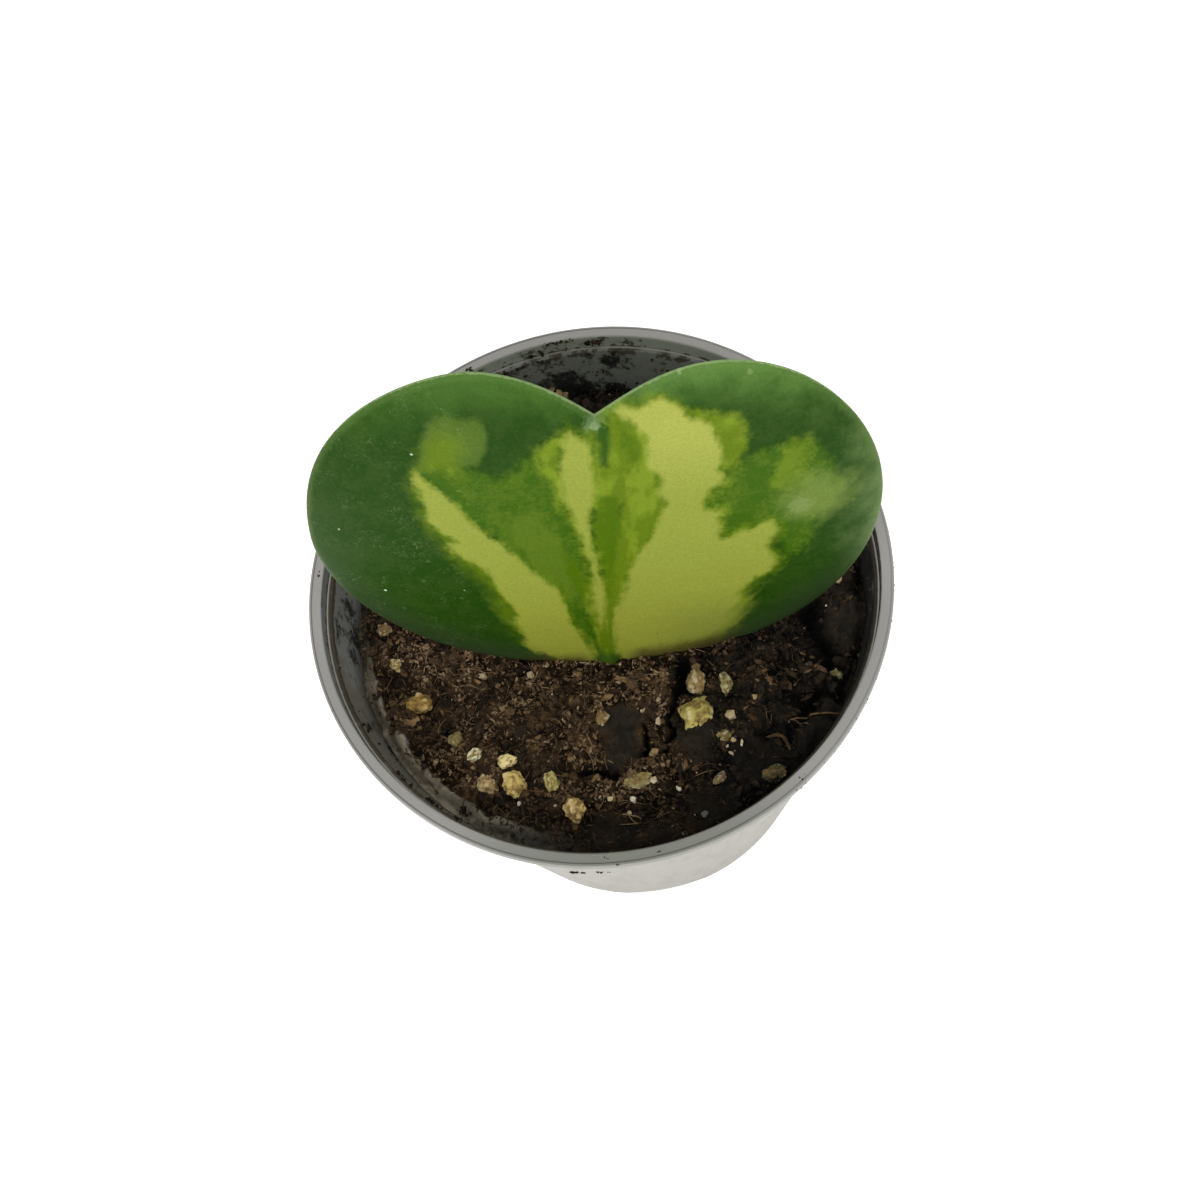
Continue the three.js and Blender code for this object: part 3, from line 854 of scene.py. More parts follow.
# Fine relief on the soil: crumbs of three sizes, lower where it is matted, over ridged noise (a half less the
# size of a noise) that looks like felted peat. Smooth clods stand up a little and carry next to none of it,
# cracks are deeper, and silt levels it.
def soilGrit(x, y):
    form = gritForm
    bentX = wandered(x, x, y, soil["gritWander"], 21, 23)
    bentY = wandered(y, x, y, soil["gritWander"], 22, 24, 9)
    matted = mattedShare(x, y)
    relief = 0
    for size, height, lower, stream in form["crumbs"]:
        relief = relief + height * crumbRelief(bentX, bentY, size, stream) * (1 - lower * matted)
    ridges = 0
    for size, height, stream in form["ridges"]:
        ridges = ridges + height * (0.5 - np.abs(flatNoise(bentX, bentY, size, stream)))
    whereLoose = form["ridgeWhereLoose"]
    ridges = form["ridgeHeight"] * ridges * (whereLoose + (1 - whereLoose) * matted)
    rough = form["roughHeight"] * fractalNoise(x, y, 0 * x, 1.7, 5, 41)
    loose = relief + form["level"] + rough + ridges
    firm = form["clodLevel"] + form["clodSwell"] * fractalNoise(x, y, 0 * x, 1.9, 4, 45)
    firm = firm + form["clodGrain"] * fractalNoise(x, y, 0 * x, 0.6, 3, 46)
    grit = loose + soilClod(x, y) * (firm - loose) - form["gapDepth"] * soilGap(x, y)
    return grit + form["siltSmoothing"] * siltShare(x, y) * (form["siltLevel"] - grit)


# The soil has sunk away from the pot's wall in places: bells about their angles, eased in towards the edge.
def sunkenEdge(x, y):
    depth = bellsRound(np.degrees(np.arctan2(y, x)), sunkenPlaces)
    outwards = np.hypot(x, y) + 0.5 * flatNoise(x, y, 1.6, 47)
    return depth * eased(outwards, *soil["sunkenEdge"])


def soilTop(x, y):
    return soilShape(x, y) + soilGrit(x, y) - sunkenEdge(x, y)


# Brings places in towards the axis where the pot's wall, which is narrower lower down, leaves them less room.
def heldInPot(x, y, z, room):
    held = np.minimum(1, (innerWallRadius(z) - room) / np.maximum(np.hypot(x, y), 1e-6))
    return x * held, y * held


# Rings of the soil's side, from under its rim down the pot's wall and round its lower edge to its underside.
def soilSide(edgePoints):
    floorTop = pot["floorRise"] + pot["wall"] + soil["gap"]
    levels = np.linspace(soil["sideTop"], floorTop + pot["floorRound"], soil["sideRows"])
    radii = innerWallRadius(levels) - soil["gap"]
    levels = np.append(levels, floorTop)
    radii = np.append(radii, radii[-1] - pot["floorRound"])
    outwards = edgePoints[:, :2] / np.linalg.norm(edgePoints[:, :2], axis=1)[:, None]
    heights = np.broadcast_to(levels[:, None, None], (len(levels), len(outwards), 1))
    return np.concatenate([outwards[None] * radii[:, None, None], heights], axis=-1)


# The soil: a square grid is pressed into a disc (x = a sqrt(1 - b b / 2), y = b sqrt(1 - a a / 2)) and
# raised to the soil's height. Its rim falls off unevenly, is drawn in to the pot's tapered wall, and goes
# down the wall to a flat underside.
def makeSoil():
    count = soil["grid"]
    line = np.linspace(-1, 1, count)
    a, b = np.meshgrid(line, line, indexing="ij")
    rim = innerWallRadius(soilLevel - 1) - soil["gap"]
    x = rim * a * np.sqrt(1 - b * b / 2)
    y = rim * b * np.sqrt(1 - a * a / 2)
    across = np.hypot(x, y)
    relief = soilGrit(x, y) - sunkenEdge(x, y)
    drop = soil["rimDrop"] + soil["rimUneven"] * fractalNoise(x, y, 0 * x, 2.2, 3, 50)
    height = soilShape(x, y) + relief - drop * eased(across, rim - soil["rimWidth"], rim)
    atWall = (innerWallRadius(height) - soil["gap"]) / rim
    pulled = 1 - (1 - atWall) * eased(across, rim - soil["pullWidth"], rim)
    top = np.stack([x * pulled, y * pulled, height], axis=-1).reshape(-1, 3)
    ids = np.arange(count * count).reshape(count, count)
    quads = np.stack([ids[:-1, :-1], ids[1:, :-1], ids[1:, 1:], ids[:-1, 1:]], axis=-1).reshape(-1, 4)
    edge = np.concatenate([ids[:-1, 0], ids[-1, :-1], ids[:0:-1, -1], ids[0, :0:-1]])
    side = soilSide(top[edge])
    pole = len(top) + len(side) * len(edge)
    rows = np.concatenate([edge[None], np.arange(len(top), pole).reshape(len(side), -1)])
    beside = np.roll(rows, -1, axis=1)
    walls = np.stack([rows[:-1], rows[1:], beside[1:], beside[:-1]], axis=-1).reshape(-1, 4)
    under = np.stack([np.full(len(edge), pole), beside[-1], rows[-1]], axis=-1)
    points = np.concatenate([top, side.reshape(-1, 3), [[0, 0, side[-1, 0, 2]]]])
    piece = makePiece("soil_bed", points, np.concatenate([quads, walls]), under)
    giveAttribute(piece, "grit", np.append(relief.ravel(), np.zeros(len(points) - len(top))))
    x, y = points[:, 0], points[:, 1]
    giveAttribute(piece, "matted", mattedShare(x, y))
    giveAttribute(piece, "clod", soilClod(x, y))
    giveAttribute(piece, "gap", soilGap(x, y))
    giveAttribute(piece, "silt", siltShare(x, y))
    return piece


# What the soil's colours are drawn from: sizes in millimetres, shares from 0 to 1, and the values between
# which each layer comes in.
soilFinish = {
    "patchSize": 1.3,
    "patchEdge": (0.4, 0.62),
    "bitSize": 0.35,
    "bitEdge": (0.58, 0.7),
    "bitShare": 0.75,
    "threadSize": 0.8,
    "threadTwist": 2.5,
    "threadEdge": (0.025, 0.005),
    "threadShare": 0.7,
    "clodSize": 0.9,
    "clodEdge": (0.35, 0.7),
    "clodShare": 0.95,
    # Painted shade under the leaf and along the front wall: where each begins and ends from front to back,
    # and how strong it is.
    "paintedShadeBack": (3.0, 14.0),  # how far back the soil begins and ends to grow darker
    "paintedShadeBackShare": 0.6,
    "paintedShadeFront": (-15.0, -22.0),
    "paintedShadeFrontShare": 0.62,
    "pitEdge": (-0.4, 0.35),
    "pitShade": 0.8,
    # Painted shade on the silt: where it begins and ends towards the front.
    "siltShadeFront": (-15.0, -25.0),
    "siltShare": 0.95,
    "wornSize": 1.2,
    "wornEdge": (0.5, 0.66),
    "wornShare": 0.6,
    "reliefSize": 0.22,
    "reliefDepth": 0.22,
}


# Peat and bark: brown and matted or grey-black and loose, with dark clods, paler bits and rusty threads. It
# carries painted shade in its cracks, under the leaf, along the front wall and in its pits, and is pale where
# silt has dried on it, with painted shade on the silt towards the front.
def makeSoilMaterial():
    form = soilFinish
    material, tree, shader = newMaterial("peat", Roughness=0.92, Specular_IOR_Level=0.12)
    place = objectPlace(tree)
    matted = readAttribute(tree, "matted")
    patches = rise(tree, grain(tree, place, form["patchSize"], 6.0, 0.65), *form["patchEdge"])
    loose = blendColours(tree, patches, soil["black"], soil["darkBrown"])
    felt = blendColours(tree, patches, soil["darkBrown"], soil["brown"])
    colour = blendColours(tree, matted, loose, felt)
    paler = rise(tree, grain(tree, place, form["bitSize"], 3.0, 0.6), *form["bitEdge"])
    colour = blendColours(tree, times(tree, paler, form["bitShare"]), colour, soil["grey"])
    threads = grain(tree, place, form["threadSize"], 4.0, 0.7, form["threadTwist"])
    threads = rise(tree, sizeOf(tree, minus(tree, threads, 0.5)), *form["threadEdge"])
    threads = times(tree, threads, times(tree, matted, form["threadShare"]))
    colour = blendColours(tree, threads, colour, soil["rust"])
    firm = rise(tree, grain(tree, place, form["clodSize"], 5.0, 0.6), *form["clodEdge"])
    firm = blendColours(tree, firm, soil["clod"], soil["clodLight"])
    clod = times(tree, readAttribute(tree, "clod"), form["clodShare"])
    colour = blendColours(tree, clod, colour, firm)
    # Painted shade in the cracks between clods.
    colour = blendColours(tree, readAttribute(tree, "gap"), colour, soil["shadeColour"])

    back = addNode(tree, "ShaderNodeSeparateXYZ", {0: place}).outputs["Y"]

    # Share of the way between two places from the front to the back.
    def alongBack(ends):
        return rise(tree, back, ends[0] * mm, ends[1] * mm)

    # Painted shade under the leaf and along the front wall.
    paintedShade = times(tree, alongBack(form["paintedShadeBack"]), form["paintedShadeBackShare"])
    paintedShade = plus(tree, paintedShade, times(tree, alongBack(form["paintedShadeFront"]), form["paintedShadeFrontShare"]))
    colour = blendColours(tree, paintedShade, colour, soil["shadeColour"])
    # Painted shade in the pits of the soil's fine relief.
    pitShading = rise(tree, readAttribute(tree, "grit"), *form["pitEdge"])
    pitShading = plus(tree, times(tree, pitShading, form["pitShade"]), 1 - form["pitShade"])
    colour = blendColours(tree, 1.0, colour, greyOf(tree, pitShading), "MULTIPLY")
    # Silt with painted shade towards the front.
    silt = blendColours(tree, alongBack(form["siltShadeFront"]), soil["silt"], soil["siltShadeFront"])
    worn = rise(tree, grain(tree, place, form["wornSize"], 6.0, 0.68), *form["wornEdge"])
    silt = blendColours(tree, times(tree, worn, form["wornShare"]), silt, soil["darkBrown"])
    silted = times(tree, readAttribute(tree, "silt"), form["siltShare"])
    feedColour(tree, shader, blendColours(tree, silted, colour, silt))
    addRelief(tree, shader, grain(tree, place, form["reliefSize"], 5.0, 0.75), form["reliefDepth"], 1.0)
    return material


soilMaterial = makeSoilMaterial()
finishPiece(makeSoil(), soilMaterial, "potting_soil", "soil")

# Crumbs and fibres.

crumbs = {
    "rows": 2,
    "columns": 5,
    "unevenness": 0.45,
    "sharpAngle": 25,
    "reach": 26.4,
    "room": 0.35,  # how far their middles stay off the wall
    "bareShare": 0.93,  # how many are missing on clods, cracks and silt
    "tone": 0.21,
    "toneSpread": 0.14,
    "toneMatted": 0.33,
    "lightOnes": 0.08,
    "lighter": 0.35,
    # Painted shade on the crumbs: how much darker they grow, and between which places from front to back
    # under the leaf.
    "darkening": 0.6,
    "underLeaf": (3, 14),  # they darken between these places from front to back
}
fibres = {
    "count": 1500,
    "length": (0.6, 2.4),
    "radius": (0.02, 0.06),
    "reach": 26.0,
    "room": 0.4,
    "whereLoose": 0.25,  # how many of them lie where the soil is loose
    "steps": 7,
    "sides": 3,
    "bow": 0.07,
    "wave": 0.03,
    "lift": 0.16,
    "lowest": 0.05,
}


# Matrices that turn by each angle about Z, or about X.
def turnsAboutZ(angles):
    zero, one, cos, sin = np.zeros_like(angles), np.ones_like(angles), np.cos(angles), np.sin(angles)
    return np.moveaxis(np.array([[cos, -sin, zero], [sin, cos, zero], [zero, zero, one]]), -1, 0)


def turnsAboutX(angles):
    zero, one, cos, sin = np.zeros_like(angles), np.ones_like(angles), np.cos(angles), np.sin(angles)
    return np.moveaxis(np.array([[one, zero, zero], [zero, cos, -sin], [zero, sin, cos]]), -1, 0)


# Turning matrices for count forms: a spin, then a tip by up to tip degrees, then a turn.
def randomTurns(draw, count, tip):
    turn = draw.uniform(0, 2 * math.pi, count)
    lean = np.radians(draw.uniform(-tip, tip, count))
    spin = draw.uniform(0, 2 * math.pi, count)
    return turnsAboutZ(turn) @ turnsAboutX(lean) @ turnsAboutZ(spin)


# Points of a unit ball on a grid of latitude rows and longitude columns, then its two poles.
def ballPoints(rows, columns):
    polar = (np.arange(rows) + 1) * math.pi / (rows + 1)
    turn = np.arange(columns) * 2 * math.pi / columns
    ring = np.stack([np.cos(turn), np.sin(turn)], axis=1)
    heights = np.broadcast_to(np.cos(polar)[:, None, None], (rows, columns, 1))
    rings = np.concatenate([np.sin(polar)[:, None, None] * ring, heights], axis=-1)
    return np.concatenate([rings.reshape(-1, 3), [[0, 0, 1], [0, 0, -1]]])


# Many uneven crumbs in one piece: a ball of few faces, each point drawn in or out, stretched to its size,
# turned and put in its place. tones gives each crumb a number for its colour.
def scatterForms(name, draw, places, sizes, tones, tip=90, rows=crumbs["rows"], columns=crumbs["columns"]):
    count = len(places)
    ball = ballPoints(rows, columns)
    uneven = 1 + crumbs["unevenness"] * draw.uniform(-1, 1, (count, len(ball), 1))
    forms = ball[None] * uneven * sizes[:, None]
    forms = np.einsum("nij,nkj->nki", randomTurns(draw, count, tip), forms) + places[:, None]
    quads, triangles = (repeatedFaces(faces, len(ball), count) for faces in skinFaces(rows, columns))
    piece = makePiece(name, forms.reshape(-1, 3), quads, triangles, crumbs["sharpAngle"])
    giveAttribute(piece, "tone", np.repeat(tones, len(ball)))
    return piece


# Places all over the soil, up to reach from the axis and held inside the pot's wall. Most that fall on a
# smooth clod, in a crack or on the silt are left out, and the rest sit a little sunk.
def soilPlaces(draw, count, reach, sunk):
    radius = reach * np.sqrt(draw.uniform(0, 1, count))
    turn = draw.uniform(0, 2 * math.pi, count)
    x, y = radius * np.cos(turn), radius * np.sin(turn)
    bare = np.maximum(np.maximum(soilClod(x, y), 1.3 * soilGap(x, y)), siltShare(x, y))
    kept = draw.uniform(0, 1, count) > crumbs["bareShare"] * bare
    height = soilTop(x, y) - sunk
    x, y = heldInPot(x, y, height, crumbs["room"])
    return np.stack([x, y, height], axis=1)[kept]


# Half lengths between a smallest and a largest, more of them small the higher the power.
def drawnSizes(draw, sizeRange, count, power):
    small, large = sizeRange
    return small + (large - small) * draw.uniform(0, 1, count) ** power


# Shares from dark to light for crumbs at their places: neighbours are alike, they are lighter in the matted
# part, darker on the clods, darker with painted shade in the cracks, behind the leaf and along the front
# wall, and a few are much lighter.
def crumbTones(draw, places):
    x, y = places[:, 0], places[:, 1]
    tones = draw.normal(crumbs["tone"], crumbs["toneSpread"], len(places))
    tones = tones + crumbs["toneMatted"] * mattedShare(x, y)
    tones = tones + 0.3 * flatNoise(x, y, 1.5, 48) + 0.2 * flatNoise(x, y, 4, 49)
    lighter = draw.uniform(0, 1, len(places)) < crumbs["lightOnes"]
    tones = np.where(lighter, tones + crumbs["lighter"], tones)
    tones = tones * (1 - crumbs["darkening"] * soilClod(x, y)) * (1 - soilGap(x, y))
    tones = tones * (1 - crumbs["darkening"] * eased(y, *crumbs["underLeaf"]))
    atFront = eased(np.hypot(x + 3, y), 18.5, 23.5) * eased(-y, 14, 19)
    return np.clip(tones * (1 - crumbs["darkening"] * atFront), 0, 1)


# Widths and heights of crumbs as shares of their half length, between the given smallest and largest.
def crumbSizes(draw, half, widths, heights):
    width = draw.uniform(*widths, len(half))
    height = draw.uniform(*heights, len(half))
    return half[:, None] * np.stack([np.ones(len(half)), width, height], axis=1)


# The places that stay when they are thinned out to a share where the soil is loose, up to the count wanted.
def mostlyMatted(draw, places, whereLoose, wanted):
    share = whereLoose + (1 - whereLoose) * mattedShare(places[:, 0], places[:, 1])
    return places[draw.uniform(0, 1, len(places)) < share][:wanted]


# One kind of loose bits. Those of a kind with whereLoose lie mostly where the soil is matted, and those with
# evenTones are as often light as dark.
def makeCrumbs(name, kind):
    draw = np.random.default_rng(kind["seed"])
    places = soilPlaces(draw, kind["drawn"], crumbs["reach"] - kind["inset"], kind["sunk"])
    if "whereLoose" in kind:
        places = mostlyMatted(draw, places, kind["whereLoose"], kind["wanted"])
    half = drawnSizes(draw, kind["half"], len(places), kind["power"])
    places[:, 2] += kind["lift"] * half
    sizes = crumbSizes(draw, half, kind["widths"], kind["heights"])
    if "evenTones" in kind:
        tones = draw.uniform(0, 1, len(half))
    else:
        tones = kind["toneShare"] * crumbTones(draw, places) + kind["toneMore"]
    return scatterForms(name, draw, places, sizes, tones, kind["tip"], *kind["grid"])


# Tubes along bent lines: at each step a ring of sides points stands round the line, across its direction,
# and the radius shrinks to both ends. lines holds count x steps x 3 points.
def tubesAlong(name, lines, radii, tones, sides=4):
    count, steps, _ = lines.shape
    ahead = np.gradient(lines, axis=1)
    ahead = ahead / np.linalg.norm(ahead, axis=2)[..., None]
    across = np.cross(ahead, [0.0, 0.0, 1.0])
    across = across / np.maximum(np.linalg.norm(across, axis=2)[..., None], 1e-6)
    over = np.cross(across, ahead)
    taper = np.sqrt(np.clip(1 - np.abs(np.linspace(-1, 1, steps)) ** 3 * 0.9, 0.05, 1))
    turn = np.arange(sides) * 2 * math.pi / sides
    ring = np.cos(turn)[:, None] * across[:, :, None] + np.sin(turn)[:, None] * over[:, :, None]
    skin = lines[:, :, None] + ring * (radii[:, None] * taper)[:, :, None, None]
    points = np.concatenate([skin.reshape(count, -1, 3), lines[:, :1], lines[:, -1:]], axis=1)
    quads, triangles = (repeatedFaces(faces, points.shape[1], count) for faces in skinFaces(steps, sides))
    piece = makePiece(name, points.reshape(-1, 3), quads, triangles)
    giveAttribute(piece, "tone", np.repeat(tones, points.shape[1]))
    return piece


# Fibres lie on the soil in shallow bows: a straight line with a sideways sine bow, laid on the soil's top.
def makeFibres():
    draw = np.random.default_rng(8)
    form = fibres
    spots = soilPlaces(draw, form["count"] * 3, form["reach"], 0)
    spots = mostlyMatted(draw, spots, form["whereLoose"], form["count"])
    count = len(spots)
    part = np.linspace(-0.5, 0.5, form["steps"])
    length = drawnSizes(draw, form["length"], count, 1.8)
    heading = draw.uniform(0, 2 * math.pi, count)
    bow = draw.normal(0, form["bow"], count) * length
    wave = draw.normal(0, form["wave"], count) * length
    along = length[:, None] * part
    aside = bow[:, None] * np.cos(math.pi * part) + wave[:, None] * np.sin(2 * math.pi * part)
    x = spots[:, :1] + along * np.cos(heading)[:, None] - aside * np.sin(heading)[:, None]
    y = spots[:, 1:2] + along * np.sin(heading)[:, None] + aside * np.cos(heading)[:, None]
    x, y = heldInPot(x, y, soilTop(x, y), form["room"])
    lift = draw.uniform(0.0, form["lift"], count)[:, None] * np.cos(math.pi * part) + form["lowest"]
    height = soilShape(x, y) + 0.8 * soilGrit(x, y) - sunkenEdge(x, y) + 0.08 + lift
    radii = draw.uniform(*form["radius"], count)
    # Painted shade: fibres in the cracks and behind the leaf are darker.
    tones = draw.uniform(0, 0.9, count) * (1 - soilGap(spots[:, 0], spots[:, 1]))
    tones = tones * (1 - crumbs["darkening"] * eased(spots[:, 1], *crumbs["underLeaf"]))
    return tubesAlong("peat_fibres", np.stack([x, y, height], axis=-1), radii, tones, form["sides"])


# Colour by a piece's tone from dark to light, with fine mottling and a rough surface.
def makeCrumbMaterial(name, stops, mottle, relief):
    material, tree, shader = newMaterial(name, Roughness=0.9, Specular_IOR_Level=0.15)
    place = objectPlace(tree)
    tone = readAttribute(tree, "tone")
    mottling = times(tree, minus(tree, grain(tree, place, mottle, 4.0, 0.6), 0.5), 0.7)
    ramp = addNode(tree, "ShaderNodeValToRGB", {0: plus(tree, tone, mottling)})
    while len(ramp.color_ramp.elements) < len(stops):
        ramp.color_ramp.elements.new(0.5)
    for element, (position, colour) in zip(ramp.color_ramp.elements, stops):
        element.position = position
        element.color = colour
    feedColour(tree, shader, ramp.outputs[0])
    addRelief(tree, shader, grain(tree, place, mottle * 0.6, 4.0, 0.65), relief, 0.8)
    return material


# Colour stops of each kind, from dark to light.
crumbStops = [
    (0.0, tint(17, 15, 11)),
    (0.35, tint(48, 37, 25)),
    (0.65, tint(92, 72, 50)),
    (1.0, tint(146, 124, 96)),
]
barkStops = [(0.0, tint(26, 20, 13)), (0.5, tint(72, 54, 36)), (1.0, tint(134, 108, 76))]
fibreStops = [
    (0.0, tint(34, 25, 16)),
    (0.5, tint(78, 60, 40)),
    (0.85, tint(122, 100, 72)),
    (1.0, tint(158, 138, 108)),
]
speckStops = [
    (0.1, tint(86, 88, 86)),
    (0.25, tint(98, 84, 58)),
    (0.5, tint(146, 124, 84)),
    (0.85, tint(184, 168, 138)),
    (1.0, tint(212, 204, 190)),
]
crumbMaterial = makeCrumbMaterial("peat_crumb", crumbStops, 0.4, 0.1)
barkMaterial = makeCrumbMaterial("bark_chip", barkStops, 0.6, 0.1)
fibreMaterial = makeCrumbMaterial("peat_fibre", fibreStops, 0.8, 0.03)
speckMaterial = makeCrumbMaterial("perlite_speck", speckStops, 0.3, 0.06)

# What most kinds of loose bits have: how far their places stay inside the reach and how deep they are sunk,
# their lift as a share of the half length, what their tones are multiplied by and what is added, the greatest
# tip, and the rows and columns of each bit.
anyCrumbs = {"inset": 0, "sunk": 0, "lift": 0, "toneShare": 1, "toneMore": 0, "tip": 90, "grid": (2, 5)}
# Each kind: the seed of its draws, how many places are drawn, the half lengths and their power, widths and
# heights as shares of the half length, and what differs from most kinds.
crumbKinds = {
    "soil_crumbs": {
        "seed": 5, "drawn": 9000, "half": (0.1, 0.4), "power": 1.8, "widths": (0.45, 0.85),
        "heights": (0.3, 0.7), "lift": 0.15, "tip": 50,
    },
    "soil_lumps": {
        "seed": 15, "drawn": 700, "half": (0.3, 0.75), "power": 2.2, "widths": (0.6, 1.0),
        "heights": (0.4, 0.9), "inset": 0.5, "toneShare": 0.75, "grid": (4, 7),
    },
    "peat_flakes": {
        "seed": 16, "drawn": 14000, "half": (0.14, 0.42), "power": 1.6, "widths": (0.22, 0.5),
        "heights": (0.08, 0.2), "lift": 0.25, "toneMore": 0.06, "tip": 75, "whereLoose": 0.35, "wanted": 7000,
    },
    "bark_chips": {
        "seed": 6, "drawn": 900, "half": (0.25, 0.85), "power": 2.0, "widths": (0.25, 0.5),
        "heights": (0.1, 0.2), "inset": 1, "sunk": -0.05, "toneMore": 0.05, "tip": 30, "grid": (3, 7),
    },
    "perlite_specks": {
        "seed": 7, "drawn": 300, "half": (0.06, 0.19), "power": 2.0, "widths": (0.6, 1.0),
        "heights": (0.6, 1.0), "inset": 0.5, "sunk": -0.06, "evenTones": True,
    },
}
crumbMaterials = {"bark_chips": barkMaterial, "perlite_specks": speckMaterial}
for name, kind in crumbKinds.items():
    slotName = "perlite" if name == "perlite_specks" else "potting_soil"
    finishPiece(makeCrumbs(name, anyCrumbs | kind), crumbMaterials.get(name, crumbMaterial), slotName)
finishPiece(makeFibres(), fibreMaterial, "potting_soil")

# Grains of perlite.

# The screen colour of each grain, by its number.
grainColours = [
    (166, 136, 69), (137, 126, 85), (229, 223, 179), (189, 163, 117), (236, 215, 149), (204, 177, 106),
    (168, 159, 95), (195, 168, 107), (125, 105, 70), (149, 136, 91), (151, 130, 85), (180, 166, 91),
    (162, 155, 109), (113, 103, 59), (119, 107, 85), (143, 142, 93), (68, 68, 46), (178, 152, 112),
    (174, 162, 111), (113, 92, 61),
]
grainForm = {
    "rows": 30,
    "columns": 44,
    "core": 0.55,
    "lobes": 5,
    "lobeRise": (0.1, 0.4),
    "lobeWidth": (0.1, 0.3),
    "knobs": 18,
    "knobRise": (0.03, 0.2),
    "knobWidth": (0.02, 0.08),
    "facets": 9,
    "facetReach": (0.6, 0.95),
    "roughness": 0.11,
    "stretch": 1.06,
    "knobEdge": (0.0, 0.16),
}
grainFinish = {
    # hollow: soil stain with painted shade. The next tone, pale, is the glass's own white with a painted
    # highlight on the highest knobs.
    "hollow": tint(118, 92, 52),
    "pale": tint(236, 226, 196),
    "moss": tint(142, 128, 62),
    "dirt": tint(62, 46, 30),
    "hollowEdge": (0.3, 0.8),
    "paleEdge": (0.95, 1.3),
    "mossEdge": (0.52, 0.68),
    "dirtEdge": (0.46, 0.56),
    "paleShare": 0.8,
    "mossShare": 0.3,
    "dirtShare": 0.85,
    "grainSize": 0.45,
    "mossSize": 1.1,
    "dirtSize": 0.5,
    "reliefSize": 0.2,
    "reliefDepth": 0.16,
}


# Unit vectors in every direction.
def randomDirections(draw, count):
    directions = draw.normal(0, 1, (count, 3))
    return directions / np.linalg.norm(directions, axis=1)[:, None]


# The highest of some round knobs in each direction of a ball: each rises by its own height times e to the
# cosine to its direction less 1, over its width.
def knobbly(draw, ball, count, riseRange, widthRange):
    closeness = ball @ randomDirections(draw, count).T
    rises = draw.uniform(*riseRange, count)
    widths = draw.uniform(*widthRange, count)
    return (rises * np.exp((closeness - 1) / widths)).max(axis=1)


# One grain, stretched to the box of its solid. Its radius in a direction is a core with the highest of some
# broad lobes, cut off by flat facets (the radius of a plane is its distance over the cosine to it), with
# small knobs on top and roughened by noise.
def makeGrain(number, nodeName):
    draw = np.random.default_rng(100 + number)
    low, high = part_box(nodeName)
    low, high = np.array(low) / mm, np.array(high) / mm
    middle, half = (low + high) / 2, (high - low) / 2
    form = grainForm
    ball = ballPoints(form["rows"], form["columns"])
    broad = form["core"] + knobbly(draw, ball, form["lobes"], form["lobeRise"], form["lobeWidth"])
    facets = ball @ randomDirections(draw, form["facets"]).T
    planes = draw.uniform(*form["facetReach"], form["facets"]) / np.maximum(facets, 0.05)
    broad = np.minimum(broad, planes.min(axis=1))
    knobs = knobbly(draw, ball, form["knobs"], form["knobRise"], form["knobWidth"])
    x, y, z = (3.4 * ball + 7.3 * number).T
    noise = fractalNoise(x, y, z, 1.0, 3, 51)
    points = ball * (broad + knobs + form["roughness"] * noise)[:, None]
    spread = (points.max(axis=0) - points.min(axis=0)) / 2
    points = (points - (points.max(axis=0) + points.min(axis=0)) / 2) / spread * half * form["stretch"]
    quads, triangles = skinFaces(form["rows"], form["columns"])
    piece = makePiece("perlite_" + nodeName[-2:], points + middle, quads, triangles)
    giveAttribute(piece, "knob", eased(knobs + 0.12 * noise, *form["knobEdge"]))
    giveAttribute(piece, "lifted", eased(ball[:, 2], -0.5, 0.5))
    return piece


# Rough volcanic glass: its own colour on the knobs, paler on the highest of them where the glass's own white
# carries a painted highlight, brown in the hollows where soil stain carries painted shade, and yellow in
# places, with specks of dirt, and soiled towards its underside.
def makeGrainMaterial(number):
    form = grainFinish
    colour = tint(*grainColours[number])
    name = "perlite_%02d" % (number + 1)
    material, tree, shader = newMaterial(name, Roughness=0.85, Specular_IOR_Level=0.2)
    place = objectPlace(tree)
    raised = times(tree, readAttribute(tree, "knob"), 0.7)
    raised = plus(tree, raised, grain(tree, place, form["grainSize"], 5.0, 0.65))
    # Brown soil stain with painted shade in the hollows, and the glass's own white with a painted highlight
    # on the highest knobs.
    stainAndShade = blendColours(tree, rise(tree, raised, *form["hollowEdge"]), form["hollow"], colour)
    pale = blendColours(tree, 0.45, colour, form["pale"])
    paler = times(tree, rise(tree, raised, *form["paleEdge"]), form["paleShare"])
    stainAndShade = blendColours(tree, paler, stainAndShade, pale)
    mossy = rise(tree, grain(tree, place, form["mossSize"], 3.0), *form["mossEdge"])
    stainAndShade = blendColours(tree, times(tree, mossy, form["mossShare"]), stainAndShade, form["moss"])
    lifted = times(tree, readAttribute(tree, "lifted"), 0.1)
    dirt = minus(tree, grain(tree, place, form["dirtSize"], 6.0, 0.7), lifted)
    dirt = times(tree, rise(tree, dirt, *form["dirtEdge"]), form["dirtShare"])
    feedColour(tree, shader, blendColours(tree, dirt, stainAndShade, form["dirt"]))
    addRelief(tree, shader, grain(tree, place, form["reliefSize"], 5.0, 0.75), form["reliefDepth"], 1.0)
    return material


for number in range(len(grainColours)):
    nodeName = "perlite_grain_%02d" % (number + 1)
    finishPiece(makeGrain(number, nodeName), makeGrainMaterial(number), "perlite", nodeName)

